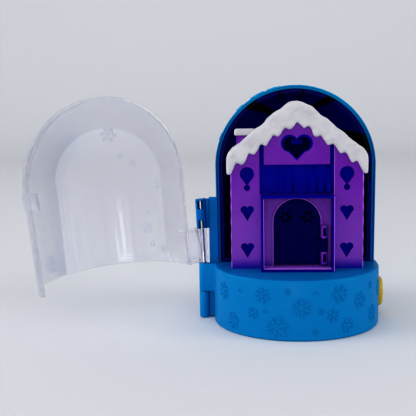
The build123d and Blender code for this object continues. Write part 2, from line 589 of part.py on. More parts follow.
def house_backing():
    """Navy panel that shows through the cut-outs, ribbed behind the band."""
    y0, y1 = BACKING_FRONT, BACKING_FRONT + BACKING_WALL
    half = HOUSE_HALF_WIDTH - HOUSE_WALL - FIT
    panel = slab(gable_line(WALL_DROP + 1, half, BASE_HEIGHT + FIT), y0, y1)
    panel -= slab(doorway(0.8), y0 - 5, y1 + 5)
    # ring that stands in the gable's heart, flush with the wall's face
    rings = []
    for frame in (FIT, HEART_FRAME):
        rings.append(Pos(0, GABLE_HEART_HEIGHT) * heart(GABLE_HEART[0] - 2 * frame, GABLE_HEART[1] - 2 * frame))
    panel += slab(rings[0], HOUSE_FRONT, y0 + FIT)
    panel -= slab(rings[1], HOUSE_FRONT - 1, y1 + 5)
    for x, y in HOUSE_SCREWS:
        room = BOSS_RADIUS + FIT
        panel -= block(x - room - 8 * (x < 0), x + room + 8 * (x > 0), y - room - FIT, 0,
                       BASE_HEIGHT, BASE_HEIGHT + HOUSE_BOSS_HEIGHT + 0.5)
    ribs = 9
    pitch = 2 * BAY_HALF_WIDTH / ribs
    for i in range(ribs):
        x = -BAY_HALF_WIDTH + pitch * (i + 0.5)
        panel += block(x - pitch / 4, x + pitch / 4, y0 - BAND_RIB, y0 + FIT, PORCH_TOP + 1, BAND_TOP - 1)
    return panel


def porch():
    """Open-fronted porch: floor, two side walls and a flat roof."""
    x, y0, y1 = BAY_HALF_WIDTH, PORCH_FRONT, HOUSE_FRONT
    box = block(-x, x, y0, y1, BASE_HEIGHT, PORCH_TOP)
    room = block(-x + PORCH_WALL, x - PORCH_WALL, y0 - 5, y1 + 5, PORCH_FLOOR_TOP, PORCH_TOP - PORCH_ROOF)
    sill = block(-DOORWAY_HALF_WIDTH + FIT, DOORWAY_HALF_WIDTH - FIT, y1, y1 + HOUSE_WALL,
                 BASE_HEIGHT, PORCH_FLOOR_TOP)
    return box - room + sill


def door():
    """Arched navy door with two flower cut-outs, strap, knuckle and pins."""
    y0 = HOUSE_FRONT + DOOR_SET
    y1 = y0 + DOOR_WALL
    leaf = slab(doorway(-DOOR_GAP), y0, y1)
    leaf = leaf & block(-BIG, BIG, -BIG, BIG, PORCH_FLOOR_TOP + DOOR_GAP, BIG)
    for side in (-1, 1):
        for i in range(PETALS):
            turn = math.tau * i / PETALS
            x = side * FLOWER_X + PETAL_OUT * math.cos(turn)
            z = FLOWER_HEIGHT + PETAL_OUT * math.sin(turn)
            petal = Rot(0, 0, math.degrees(turn)) * Ellipse(PETAL_LENGTH / 2, PETAL_WIDTH / 2)
            leaf -= slab(Pos(x, z) * petal, y0 - 1, y1 + 1)
    low = DOOR_HINGE_HEIGHTS[1] + KNUCKLE_GAP
    high = DOOR_HINGE_HEIGHTS[2] - KNUCKLE_GAP
    edge = DOORWAY_HALF_WIDTH - DOOR_STRAP
    strap_front = HOUSE_FRONT - TRIM_PROUD - DOOR_STRAP_WALL
    strap_back = HOUSE_FRONT - TRIM_PROUD - STRAP_CLEARANCE
    strap = block(edge, DOOR_HINGE_X, strap_front, strap_back, low, high)
    strap += block(edge, DOORWAY_HALF_WIDTH - 2 * DOOR_GAP, strap_front, y0 + 0.4, low, high)
    knuckle = rod(DOOR_HINGE_X, DOOR_Y, low, high, DOOR_KNUCKLE_RADIUS)
    pins = rod(DOOR_HINGE_X, DOOR_Y, DOOR_HINGE_HEIGHTS[0] + 0.3, DOOR_HINGE_HEIGHTS[3] - 0.3, DOOR_PIN_RADIUS)
    pull = block(PULL_X - PULL_WIDTH / 2, PULL_X + PULL_WIDTH / 2, y0 - PULL_PROUD, y0 + FIT,
                 PULL_FOOT, PULL_FOOT + PULL_LENGTH)
    return leaf + strap + knuckle + pins + pull


def roof_top(drop):
    """The rounded top line of the roof, as a solid outline down to the eaves."""
    return gable_line(drop, EAVE_X, EAVE_FOOT)


def rounded_roof():
    """The roof's whole outline, with its outer corners rounded."""
    outline = roof_top(0)
    corners = outline.vertices().sort_by(Axis.X)
    upper = [v for v in corners if abs(abs(v.X) - EAVE_X) < FIT and v.Y > EAVE_FOOT + 1]
    return fillet(upper, EAVE_ROUND)


def notch_height(x):
    """Height of the notches between the snow's drips, on a slope that is rounded at the ridge."""
    return NOTCH_TOP - NOTCH_SLOPE * (math.hypot(x, NOTCH_CROWN) - NOTCH_CROWN)


def under_snow():
    """What lies below the snow's wavy lower edge."""
    right = []
    for i in range(DRIPS_A_SIDE):
        x = DRIP_PITCH * i
        right.append((x, notch_height(x)))
        right.append((x + DRIP_STEP, notch_height(x + DRIP_PITCH) - DRIP_HANG))
    right.append((EAVE_X + 5, right[-1][1]))
    left = [(-x, z) for x, z in right[:0:-1]]
    edge = FilletPolyline(*left, *right, radius=DRIP_ROUND)
    sides = Polyline(right[-1], (EAVE_X + 5, 0), (-EAVE_X - 5, 0), left[0])
    return make_face(edge.edges() + sides.edges())


def snow_roof():
    """Thick snow along the gable with drips, and the lower roof panel behind it."""
    # fascia in front of the wall
    band = roof_top(0) - under_snow()
    fascia = slab(band, SNOW_FRONT, HOUSE_FRONT - FIT)
    top = slab(roof_top(0) - roof_top(SNOW_DROP + ROOF_PANEL), SNOW_FRONT, SNOW_BACK)
    panel = slab(roof_top(SNOW_DROP) - roof_top(SNOW_DROP + ROOF_PANEL), SNOW_BACK, HOUSE_BACK)
    trim = block(-BIG, BIG, -BIG, BIG, EAVE_END, BIG)
    roof = fascia + ((top + panel) & trim)
    roof = roof & slab(rounded_roof(), SNOW_FRONT - 1, HOUSE_BACK + 1)
    # side lips over the top of the side walls
    for side in (-1, 1):
        x = sorted((side * (HOUSE_HALF_WIDTH + FIT), side * EAVE_X))
        roof += block(x[0], x[1], SNOW_FRONT, HOUSE_BACK, EAVE_END, EAVE_END + SIDE_LIP)
    return roof


def chimney_box(grow, z0, z1):
    """The chimney's square plan, made larger by grow."""
    half_x = CHIMNEY_WIDTH / 2 + grow
    half_y = CHIMNEY_DEPTH / 2 + grow
    return block(CHIMNEY_X - half_x, CHIMNEY_X + half_x, CHIMNEY_Y - half_y, CHIMNEY_Y + half_y, z0, z1)


def chimney():
    """Purple chimney standing on the roof panel."""
    stack = chimney_box(0, EAVE_END, CHIMNEY_TOP)
    flue = chimney_box(-CHIMNEY_FLUE, CHIMNEY_TOP - 2.5, CHIMNEY_TOP + 1)
    return stack - slab(roof_top(SNOW_DROP - FIT), -40, 10) - flue


def chimney_snow_cap():
    """Snow lying on the chimney."""
    cap = chimney_box(CAP_OVERHANG, CHIMNEY_TOP + FIT / 2, CHIMNEY_TOP + CAP_HEIGHT)
    cap = fillet(cap.edges().filter_by(Axis.Z), 1.2)
    cap = fillet(cap.faces().sort_by(Axis.Z)[-1].edges(), 1.0)
    return cap + chimney_box(-CHIMNEY_FLUE - 1.5 * FIT, CHIMNEY_TOP - 2, CHIMNEY_TOP + 1)


# ---- write every sub-part -----------------------------------------------------------------
def main():
    os.makedirs("parts", exist_ok=True)
    save(back_shell(), "back_shell")
    save(interior_backdrop(), "interior_backdrop")
    save(bottom_plate(rear_half, BASE_SET, REAR_SCREWS), "rear_bottom_plate")
    save(screws(REAR_SCREWS, 0.05), "rear_plate_screws")
    save(cover_hinge_pin(), "cover_hinge_pin")
    save(base_hinge_pin(), "base_hinge_pin")
    save(latch_button(), "latch_button")
    save(button_retainer(), "button_retainer")
    save(latch_spring(), "latch_spring")
    save(clear_cover(), "clear_cover")
    save(drum_front(), "drum_front")
    save(bottom_plate(front_half, -BASE_SET, FRONT_SCREWS), "front_bottom_plate")
    save(screws(FRONT_SCREWS, 0.05), "front_plate_screws")
    save(house_facade(), "house_facade")
    save(house_backing(), "house_backing")
    save(screws(HOUSE_SCREWS, BASE_HEIGHT - SHELL_WALL - SCREW_HEAD), "house_screws")
    save(porch(), "porch")
    save(door(), "door")
    save(snow_roof(), "snow_roof")
    save(chimney(), "chimney")
    save(chimney_snow_cap(), "chimney_snow_cap")


main()
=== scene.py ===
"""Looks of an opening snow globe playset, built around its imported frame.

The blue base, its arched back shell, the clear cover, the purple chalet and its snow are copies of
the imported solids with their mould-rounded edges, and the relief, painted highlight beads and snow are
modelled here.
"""

import json
import logging
import math
from dataclasses import dataclass
from enum import Enum
from typing import Iterable, Sequence

import bmesh
import bpy
from mathutils import Matrix, Vector, noise


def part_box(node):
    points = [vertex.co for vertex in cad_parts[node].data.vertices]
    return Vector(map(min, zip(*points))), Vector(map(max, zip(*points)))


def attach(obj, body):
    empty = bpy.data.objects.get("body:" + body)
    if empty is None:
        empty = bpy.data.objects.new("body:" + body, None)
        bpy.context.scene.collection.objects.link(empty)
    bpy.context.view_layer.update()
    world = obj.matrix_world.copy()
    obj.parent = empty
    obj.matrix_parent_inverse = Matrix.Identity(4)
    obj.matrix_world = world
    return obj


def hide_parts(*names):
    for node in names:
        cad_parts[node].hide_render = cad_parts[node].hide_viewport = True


MM = 0.001
WELD_MM = 0.0005        # vertices nearer than this are one
FLAT_DEGREES = 0.3      # faces that turn by less are one flat face
RIPPLE_MM = 7.0         # from one swelling of a rippled bead to the next
RELIEF_VOXEL_MM = 0.16  # size of the faces of moulded relief
POLYMER_IOR = 1.53

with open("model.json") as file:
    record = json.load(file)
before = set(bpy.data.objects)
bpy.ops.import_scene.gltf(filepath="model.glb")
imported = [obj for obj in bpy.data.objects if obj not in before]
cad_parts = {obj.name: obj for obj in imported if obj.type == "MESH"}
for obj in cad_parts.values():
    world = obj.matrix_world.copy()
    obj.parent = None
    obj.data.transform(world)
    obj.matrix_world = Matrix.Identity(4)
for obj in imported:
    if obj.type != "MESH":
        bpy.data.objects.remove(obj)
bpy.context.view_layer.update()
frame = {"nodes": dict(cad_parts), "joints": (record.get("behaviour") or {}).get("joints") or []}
LOG = logging.getLogger("snow_globe")


# ---- small tools --------------------------------------------------------------------------
def linear(hex_colour: str) -> tuple[float, float, float, float]:
    """Turn an sRGB hex colour into the linear colour that shaders take.

    Args:
        hex_colour: Six hex digits with a leading hash.

    Returns:
        Linear red, green and blue, and an alpha of one.
    """
    parts = [int(hex_colour[i : i + 2], 16) / 255 for i in (1, 3, 5)]
    lin = [p / 12.92 if p <= 0.04045 else ((p + 0.055) / 1.055) ** 2.4 for p in parts]
    return (lin[0], lin[1], lin[2], 1.0)


def add_node(
    tree: bpy.types.NodeTree,
    kind: str,
    inputs: dict[str | int, object] | None = None,
    **settings: object,
) -> bpy.types.Node:
    """Add one shader node with its settings, socket values and links.

    Args:
        tree: The material's node tree.
        kind: The node's type name.
        inputs: Socket name or number to a value, or to the output socket that feeds it.
        **settings: Properties of the node itself.

    Returns:
        The new node.
    """
    node = tree.nodes.new(kind)
    for key, value in settings.items():
        setattr(node, key, value)
    for key, value in (inputs or {}).items():
        if isinstance(value, bpy.types.NodeSocket):
            tree.links.new(value, node.inputs[key])
        else:
            node.inputs[key].default_value = value
    return node


def maths(tree: bpy.types.NodeTree, operation: str, *values: object) -> bpy.types.NodeSocket:
    """Add an arithmetic node.

    Args:
        tree: The material's node tree.
        operation: What it works out.
        *values: Numbers, or the output sockets that feed it.

    Returns:
        Its result.
    """
    node = add_node(tree, "ShaderNodeMath", dict(enumerate(values)), operation=operation)
    return node.outputs[0]


def grainy(
    tree: bpy.types.NodeTree,
    where: bpy.types.NodeSocket,
    size_mm: float,
    detail: float,
    roughness: float = 0.5,
) -> bpy.types.NodeSocket:
    """Add a noise pattern.

    Args:
        tree: The material's node tree.
        where: The coordinates that it lies on.
        size_mm: Size of its largest features.
        detail: Octaves of finer features.
        roughness: Strength of the finer features.

    Returns:
        Its value, from 0 to 1.
    """
    inputs = {"Vector": where, "Scale": 1 / (size_mm * MM), "Detail": detail, "Roughness": roughness}
    return add_node(tree, "ShaderNodeTexNoise", inputs).outputs["Fac"]


def spread(
    tree: bpy.types.NodeTree,
    value: bpy.types.NodeSocket,
    source: tuple[float, float],
    target: tuple[float, float],
    **settings: object,
) -> bpy.types.NodeSocket:
    """Add a node that maps one range to another.

    Args:
        tree: The material's node tree.
        value: What is mapped.
        source: The range that it is read over.
        target: The range that it is turned into.
        **settings: Properties of the node itself.

    Returns:
        The mapped value.
    """
    inputs = {
        "Value": value,
        "From Min": source[0],
        "From Max": source[1],
        "To Min": target[0],
        "To Max": target[1],
    }
    return add_node(tree, "ShaderNodeMapRange", inputs, **settings).outputs["Result"]


def bumped(
    tree: bpy.types.NodeTree, height: bpy.types.NodeSocket, depth_mm: float, strength: float
) -> bpy.types.NodeSocket:
    """Add a bump of a given depth, and return its normal."""
    inputs = {"Height": height, "Distance": depth_mm * MM, "Strength": strength}
    return add_node(tree, "ShaderNodeBump", inputs).outputs["Normal"]


def blended(
    tree: bpy.types.NodeTree, share: bpy.types.NodeSocket, first: object, second: object
) -> bpy.types.NodeSocket:
    """Add a mix of two colours, and return it."""
    inputs = {0: share, 6: first, 7: second}
    return add_node(tree, "ShaderNodeMix", inputs, data_type="RGBA").outputs[2]


def surfaced(tree: bpy.types.NodeTree, output: bpy.types.Node, inputs: dict[str, object]) -> None:
    """Add the material's Principled surface and lead it to the output."""
    shader = add_node(tree, "ShaderNodeBsdfPrincipled", inputs)
    tree.links.new(shader.outputs["BSDF"], output.inputs["Surface"])


def new_material(name: str) -> tuple[bpy.types.Material, bpy.types.NodeTree, bpy.types.Node]:
    """Start an empty node material.

    Args:
        name: The material's name.

    Returns:
        The material, its tree and its output node.
    """
    material = bpy.data.materials.new(name)
    material.use_nodes = True
    tree = material.node_tree
    tree.nodes.clear()
    return material, tree, add_node(tree, "ShaderNodeOutputMaterial")


def shade(mesh: bpy.types.Mesh, crease: float = 32.0) -> None:
    """Shade a mesh smooth, with sharp edges where it turns by more than crease degrees."""
    mesh.polygons.foreach_set("use_smooth", [True] * len(mesh.polygons))
    mesh.set_sharp_from_angle(angle=math.radians(crease))


def added(name: str, data: bpy.types.ID) -> bpy.types.Object:
    """Add an object to the scene."""
    made = bpy.data.objects.new(name, data)
    bpy.context.scene.collection.objects.link(made)
    return made


def placed(
    bm: bmesh.types.BMesh,
    name: str,
    material: bpy.types.Material,
    body: str,
    replaces: Iterable[str] = (),
    crease: float = 32.0,
) -> bpy.types.Object:
    """Turn a bmesh into a finished piece that rides on a body.

    Args:
        bm: The shape, in metres, in the frame. It is freed.
        name: The piece's name.
        material: Its finish.
        body: The body that it moves with.
        replaces: CAD nodes that it is shown in place of.
        crease: Angle in degrees past which an edge is shaded sharp.

    Returns:
        The piece.
    """
    mesh = bpy.data.meshes.new(name)
    bm.to_mesh(mesh)
    bm.free()
    shade(mesh, crease)
    piece = added(name, mesh)
    mesh.materials.append(material)
    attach(piece, body)
    if replaces:
        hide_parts(*replaces)
    LOG.info("%s: %d faces on %s", name, len(mesh.polygons), body)
    return piece


def node_copy(node: str) -> bmesh.types.BMesh:
    """A welded copy of a CAD node, with the triangles of each flat face joined up.

    Args:
        node: The node's name.

    Returns:
        Its shape as a new bmesh.
    """
    bm = bmesh.new()
    bm.from_mesh(frame["nodes"][node].data)
    bmesh.ops.remove_doubles(bm, verts=bm.verts, dist=WELD_MM * MM)
    flat = math.radians(FLAT_DEGREES)
    bmesh.ops.dissolve_limit(bm, angle_limit=flat, verts=bm.verts, edges=bm.edges)
    return bm


def bead(points: Sequence[Vector], radius: float, ripple: float = 0.0) -> bmesh.types.BMesh:
    """A thin round bead along a line of points, in millimetres.

    Args:
        points: The line.
        radius: The bead's radius.
        ripple: Share by which the bead swells and narrows along its length.

    Returns:
        The bead, in metres.
    """
    bm = bmesh.new()
    rings: list[set] = []
    length = 0.0
    for i, point in enumerate(points):
        way = (points[min(i + 1, len(points) - 1)] - points[max(i - 1, 0)]).normalized()
        length += (point - points[i - 1]).length if i else 0.0
        swell = 1.0 + ripple * math.sin(length * math.tau / RIPPLE_MM)
        place = Matrix.Translation(point * MM) @ way.to_track_quat("Z", "Y").to_matrix().to_4x4()
        ring = bmesh.ops.create_circle(
            bm, cap_ends=i in (0, len(points) - 1), radius=radius * swell * MM, segments=8, matrix=place
        )["verts"]
        rings.append({e for v in ring for e in v.link_edges})
    for lower, upper in zip(rings, rings[1:]):
        bmesh.ops.bridge_loops(bm, edges=list(lower | upper))
    bmesh.ops.recalc_face_normals(bm, faces=bm.faces)
    return bm


def joined_up(shapes: Iterable[bmesh.types.BMesh]) -> bmesh.types.BMesh:
    """Put several shapes in one bmesh, and free them."""
    whole = bmesh.new()
    for shape in shapes:
        mesh = bpy.data.meshes.new("part")
        shape.to_mesh(mesh)
        shape.free()
        whole.from_mesh(mesh)
        bpy.data.meshes.remove(mesh)
    return whole


def upright(x: float, y: float, low: float, high: float, step: float = 1.0) -> list[Vector]:
    """Points of an upright line."""
    count = max(2, round((high - low) / step))
    return [Vector((x, y, low + (high - low) * i / count)) for i in range(count + 1)]


def soften(bm: bmesh.types.BMesh, edge_mm: float, sharper_than: float = 48.0) -> bmesh.types.BMesh:
    """Round the corners of a moulding.

    Args:
        bm: The shape to change.
        edge_mm: Width of the rounding.
        sharper_than: Edges that turn by less than this, in degrees, are left alone.

    Returns:
        The same bmesh.
    """
    limit = math.radians(sharper_than)
    sharp = [e for e in bm.edges if len(e.link_faces) == 2 and e.calc_face_angle(0) > limit]
    bmesh.ops.bevel(
        bm,
        geom=sharp,
        offset=edge_mm * MM,
        offset_type="OFFSET",
        segments=2,
        profile=0.5,
        affect="EDGES",
        clamp_overlap=False,
        material=-1,
    )
    return bm


def block(bm: bmesh.types.BMesh, low: Sequence[float], high: Sequence[float]) -> list:
    """Add a box between two corners, in millimetres.

    Args:
        bm: The bmesh to add to.
        low: Lowest corner.
        high: Highest corner.

    Returns:
        The box's vertices.
    """
    size = [(h - l) * MM for l, h in zip(low, high)]
    middle = [(h + l) / 2 * MM for l, h in zip(low, high)]
    place = Matrix.Translation(middle) @ Matrix.Diagonal((*size, 1))
    return bmesh.ops.create_cube(bm, size=1, matrix=place)["verts"]


def smooth(bm: bmesh.types.BMesh) -> None:
    """Smooth a shape once, half way to its neighbours' mean."""
    bmesh.ops.smooth_vert(
        bm, verts=bm.verts, factor=0.5, use_axis_x=True, use_axis_y=True, use_axis_z=True
    )


def remeshed(bm: bmesh.types.BMesh, voxel_mm: float, smoothing: int) -> bmesh.types.BMesh:
    """Melt overlapping solids into one soft skin.

    Args:
        bm: The solids. It is freed.
        voxel_mm: Size of the new skin's faces.
        smoothing: Rounds of smoothing.

    Returns:
        The new skin.
    """
    mesh = bpy.data.meshes.new("melt")
    bm.to_mesh(mesh)
    bm.free()
    holder = added("melt", mesh)
    melt = holder.modifiers.new("melt", "REMESH")
    melt.mode = "VOXEL"
    melt.voxel_size = voxel_mm * MM
    bpy.context.view_layer.update()
    evaluated = holder.evaluated_get(bpy.context.evaluated_depsgraph_get())
    skin = bmesh.new()
    skin.from_mesh(evaluated.to_mesh())
    evaluated.to_mesh_clear()
    bpy.data.objects.remove(holder)
    for _ in range(smoothing):
        smooth(skin)
    return skin


# ---- finishes -----------------------------------------------------------------------------
@dataclass(frozen=True)
class MouldedPlastic:
    """Injection moulded ABS: pigmented through, with a satin spark-eroded skin.

    The pigment is slightly cloudy along the flow of the melt. The tool's spark-eroded texture is
    about 0.1 mm, too fine to show, so it is drawn at grain_mm. Handling polishes it in patches.
    """

    name: str
    colour: str
    cloud: str
    roughness: float = 0.38
    grain_mm: float = 0.7
    grain_depth_mm: float = 0.015
    cloud_mm: float = 14.0
    patch_mm: float = 6.0
    polish: float = 0.1
    glow_mm: float = 0.6
    subsurface: float = 0.0
    coat: float = 0.0
    gloss: float = 0.25
    # Bands of painted light and shade by height: lower and upper height in mm, and the painted colour.
    painted_shading_by_height: tuple[tuple[float, float, str], ...] = ()

    def build(self) -> bpy.types.Material:
        """Build the material's nodes."""
        material, tree, output = new_material(self.name)
        place = add_node(tree, "ShaderNodeTexCoord")
        where = place.outputs["Object"]
        cloud = grainy(tree, where, self.cloud_mm, 4.0, 0.55)
        colour = blended(tree, cloud, linear(self.colour), linear(self.cloud))
        # Painted light and shade by height: the band's colour below its lower height, fading into the colour
        # above by its upper height.
        for low, high, painted_shading_colour in self.painted_shading_by_height:
            split = add_node(tree, "ShaderNodeSeparateXYZ", {0: where})
            height = (low * MM, high * MM)
            near = spread(
                tree, split.outputs["Z"], height, (1.0, 0.0), interpolation_type="SMOOTHSTEP"
            )
            colour = blended(tree, near, colour, linear(painted_shading_colour))
        grain = grainy(tree, where, self.grain_mm, 2.0)
        patches = grainy(tree, where, self.patch_mm, 5.0, 0.65)
        worn = (self.roughness - self.polish, self.roughness + self.polish)
        inputs = {
            "Base Color": colour,
            "Roughness": spread(tree, patches, (0.3, 0.7), worn),
            "Normal": bumped(tree, grain, self.grain_depth_mm, 0.6),
            "IOR": POLYMER_IOR,
            "Specular IOR Level": self.gloss,
            "Subsurface Weight": self.subsurface,
            "Subsurface Scale": self.glow_mm * MM,
            "Coat Weight": self.coat,
            "Coat Roughness": 0.12,
        }
        surfaced(tree, output, inputs)
        return material


@dataclass(frozen=True)
class RayPrintedPlastic:
    """Dark ABS liner, pad printed with broad black rays above the roof and bands at the sides, with its front
    edge darkened towards the ink colour as painted shade.
    """

    name: str
    colour: str
    ink_and_edge_shade: str
    centre_mm: tuple[float, float]
    rays: tuple[tuple[float, float], ...]
    band_mm: float
    band_share: float = 0.62
    band_top_mm: float = 80.0
    edge_mm: tuple[float, float] = (0.3, 0.7)
    edge_shade_share: float = 0.75

    def build(self) -> bpy.types.Material:
        """Build the material's nodes."""
        material, tree, output = new_material(self.name)
        place = add_node(tree, "ShaderNodeTexCoord")
        split = add_node(tree, "ShaderNodeSeparateXYZ", {0: place.outputs["Object"]})
        across = maths(tree, "SUBTRACT", split.outputs["X"], self.centre_mm[0] * MM)
        up = maths(tree, "SUBTRACT", split.outputs["Z"], self.centre_mm[1] * MM)
        angle = maths(tree, "ARCTAN2", up, across)
        printed = None
        for heading, width in self.rays:
            hit = maths(tree, "COMPARE", angle, math.radians(heading), math.radians(width))
            printed = hit if printed is None else maths(tree, "MAXIMUM", printed, hit)
        bands = maths(tree, "PINGPONG", split.outputs["Y"], self.band_mm * MM)
        dark = maths(tree, "GREATER_THAN", bands, self.band_mm * MM * self.band_share)
        below = maths(tree, "LESS_THAN", split.outputs["Z"], self.band_top_mm * MM)
        side = maths(tree, "MULTIPLY", dark, below)
        # Painted shade: the liner's front edge is darkened towards the ink colour.
        reach = (self.edge_mm[0] * MM, self.edge_mm[1] * MM)
        edge = spread(tree, split.outputs["Y"], reach, (self.edge_shade_share, 0.0))
        ink_and_edge_shade = maths(tree, "MAXIMUM", maths(tree, "MAXIMUM", printed, side), edge)
        grain = grainy(tree, place.outputs["Object"], 0.8, 3.0)
        inputs = {
            "Base Color": blended(tree, ink_and_edge_shade, linear(self.colour), linear(self.ink_and_edge_shade)),
            "Roughness": 0.5,
            "Specular IOR Level": 0.15,
            "Normal": bumped(tree, grain, 0.02, 0.6),
            "IOR": POLYMER_IOR,
        }
        surfaced(tree, output, inputs)
        return material


@dataclass(frozen=True)
class ClearPolystyrene:
    """Clear moulded polystyrene: polished, faintly hazed by handling, wavy along its flow lines."""

    name: str
    colour: str
    haze: float
    wave_mm: float
    rub_mm: float = 2.5
    clearness: float = 0.55

    def build(self) -> bpy.types.Material:
        """Build the material's nodes."""
        material, tree, output = new_material(self.name)
        place = add_node(tree, "ShaderNodeTexCoord")
        where = place.outputs["Object"]
        wave = grainy(tree, where, self.wave_mm, 1.0)
        rubs = grainy(tree, where, self.rub_mm, 6.0, 0.7)
        rubbed = (self.haze * 0.4, self.haze * 2.2)
        glass = add_node(
            tree,
            "ShaderNodeBsdfPrincipled",
            {
                "Base Color": linear(self.colour),
                "Roughness": spread(tree, rubs, (0.45, 0.75), rubbed),
                "Normal": bumped(tree, wave, 0.02, 0.4),
                "IOR": 1.59,
                "Transmission Weight": 1.0,
            },
        )
        through = add_node(tree, "ShaderNodeBsdfTransparent", {"Color": linear(self.colour)})
        thin = add_node(
            tree,
            "ShaderNodeMixShader",
            {0: self.clearness, 1: glass.outputs["BSDF"], 2: through.outputs["BSDF"]},
        )
        ray = add_node(tree, "ShaderNodeLightPath")
        both = add_node(
            tree,
            "ShaderNodeMixShader",
            {0: ray.outputs["Is Shadow Ray"], 1: thin.outputs["Shader"], 2: through.outputs["BSDF"]},
        )
        tree.links.new(both.outputs["Shader"], output.inputs["Surface"])
        return material


@dataclass(frozen=True)
class DrawnSteel:
    """Bright drawn or zinc plated steel: fine lines along the drawing direction."""

    name: str
    colour: str
    roughness: float
    line_mm: float
    along: tuple[float, float, float]

    def build(self) -> bpy.types.Material:
        """Build the material's nodes."""
        material, tree, output = new_material(self.name)
        place = add_node(tree, "ShaderNodeTexCoord")
        stretch = add_node(
            tree,
            "ShaderNodeMapping",
            {"Vector": place.outputs["Object"], "Scale": self.along},
        )
        lines = grainy(tree, stretch.outputs[0], self.line_mm, 3.0)
        drawn = (self.roughness * 0.7, self.roughness * 1.4)
        inputs = {
            "Base Color": linear(self.colour),
            "Metallic": 1.0,
            "Roughness": spread(tree, lines, (0.0, 1.0), drawn),
            "Normal": bumped(tree, lines, 0.01, 0.5),
        }
        surfaced(tree, output, inputs)
        return material


@dataclass(frozen=True)
class StudioPaper:
    """Matt pale paper sweep under the object."""

    name: str
    colour: str

    def build(self) -> bpy.types.Material:
        """Build the material's nodes."""
        material, tree, output = new_material(self.name)
        inputs = {"Base Color": linear(self.colour), "Roughness": 0.9, "Specular IOR Level": 0.1}
        surfaced(tree, output, inputs)
        return material


class Finish(Enum):
    """The finishes of the playset."""

    BLUE_ABS = MouldedPlastic(
        "moulded_blue_abs",
        "#00A0D2",
        "#0096C6",
        roughness=0.42,
        gloss=0.12,
        # Painted shade: the shell a darker blue below its shoulders, and the drum a blue of its own, for how
        # light falls on them.
        painted_shading_by_height=((78.0, 112.0, "#0072AE"), (27.5, 29.5, "#0084BA")),
    )
    PURPLE_ABS = MouldedPlastic(
        "moulded_purple_abs",
        "#781CAA",
        "#6E18A0",
        roughness=0.34,
        grain_mm=0.6,
        cloud_mm=22.0,
        gloss=0.25,
        # Painted light and shade: a lighter lilac low on the walls as a painted reflection of the floor, and
        # dark navy at their foot as painted shade where they meet the base.
        painted_shading_by_height=((40.0, 80.0, "#8A4CB8"), (28.5, 34.5, "#1C00A0")),
    )
    # Painted light: a lighter copy of the purple, for the lit porch floor and for the beads that stand for
    # highlights on edges.
    PAINTED_LIGHT_PURPLE_ABS = MouldedPlastic("purple_abs_painted_light", "#B878E0", "#AC6CD6", roughness=0.3)
    NAVY_ABS = MouldedPlastic("moulded_navy_abs", "#00009E", "#000092", roughness=0.4, gloss=0.06)
    DOOR_NAVY_ABS = MouldedPlastic(
        "moulded_dark_navy_abs", "#00006C", "#000060", roughness=0.4, gloss=0.05
    )
    SNOW_ABS = MouldedPlastic(
        "moulded_white_abs",
        "#D2D1D4",
        "#BEBDC2",
        roughness=0.5,
        grain_mm=1.1,
        grain_depth_mm=0.06,
        cloud_mm=5.0,
        subsurface=0.12,
    )
    YELLOW_ABS = MouldedPlastic(
        "moulded_yellow_abs", "#BFA93E", "#B39C38", roughness=0.3, subsurface=0.05, coat=0.2
    )
    GREY_ACETAL = MouldedPlastic("moulded_grey_acetal", "#6A6E76", "#5F636B", roughness=0.4)
    LINER_ABS = RayPrintedPlastic(
        "ray_printed_navy_abs",
        "#0202A0",
        "#010109",
        centre_mm=(0.0, 99.0),
        rays=((158.0, 6.5), (118.0, 2.0), (33.0, 6.0), (-17.0, 6.0), (75.0, 2.5)),
        band_mm=4.0,
    )
    CLEAR_PS = ClearPolystyrene("clear_moulded_polystyrene", "#FBFBFE", 0.012, 30.0)
    DRAWN_STEEL = DrawnSteel("bright_drawn_steel", "#C9C9CE", 0.26, 0.25, (1.0, 1.0, 0.06))
    PLATED_STEEL = DrawnSteel("zinc_plated_steel", "#B9BCC0", 0.34, 0.3, (1.0, 0.1, 1.0))
    PAPER = StudioPaper("pale_studio_paper", "#DEDFE2")


_BUILT: dict[Finish, bpy.types.Material] = {}


def finish(kind: Finish) -> bpy.types.Material:
    """The material of a finish, built the first time that it is asked for."""
    if kind not in _BUILT:
        _BUILT[kind] = kind.value.build()
    return _BUILT[kind]


def dress(node: str, kind: Finish) -> None:
    """Give a CAD node that stays in view its finish.

    Args:
        node: The node's name.
        kind: Its finish.
    """
    for slot in frame["nodes"][node].material_slots:
        slot.material = finish(kind)
    LOG.info("%s: dressed in %s", node, kind.value.name)


# ---- relief -------------------------------------------------------------------------------
class Ornament(Enum):
    """The relief shapes moulded on the base and the globe."""

    FLAKE = "branched snowflake"
    STAR = "plain six-armed star"
    RING = "small ring"


@dataclass(frozen=True)
class Relief:
    """One ornament: where it sits on a round wall, and how large it is."""

    kind: Ornament
    turn: float
    height: float
    radius: float
    tilt: float = 0.0


def bar(bm: bmesh.types.BMesh, start: Vector, end: Vector, width: float, rise: float) -> None:
    """Add a flat bar in the drawing plane, from start to end, standing rise out of it."""
    run = end - start
    place = (
        Matrix.Translation(((start + end) / 2).to_3d())
        @ Matrix.Rotation(math.atan2(run.y, run.x), 4, "Z")
        @ Matrix.Diagonal((run.length + width, width, 2 * rise, 1))
    )
    bmesh.ops.create_cube(bm, size=1, matrix=place)


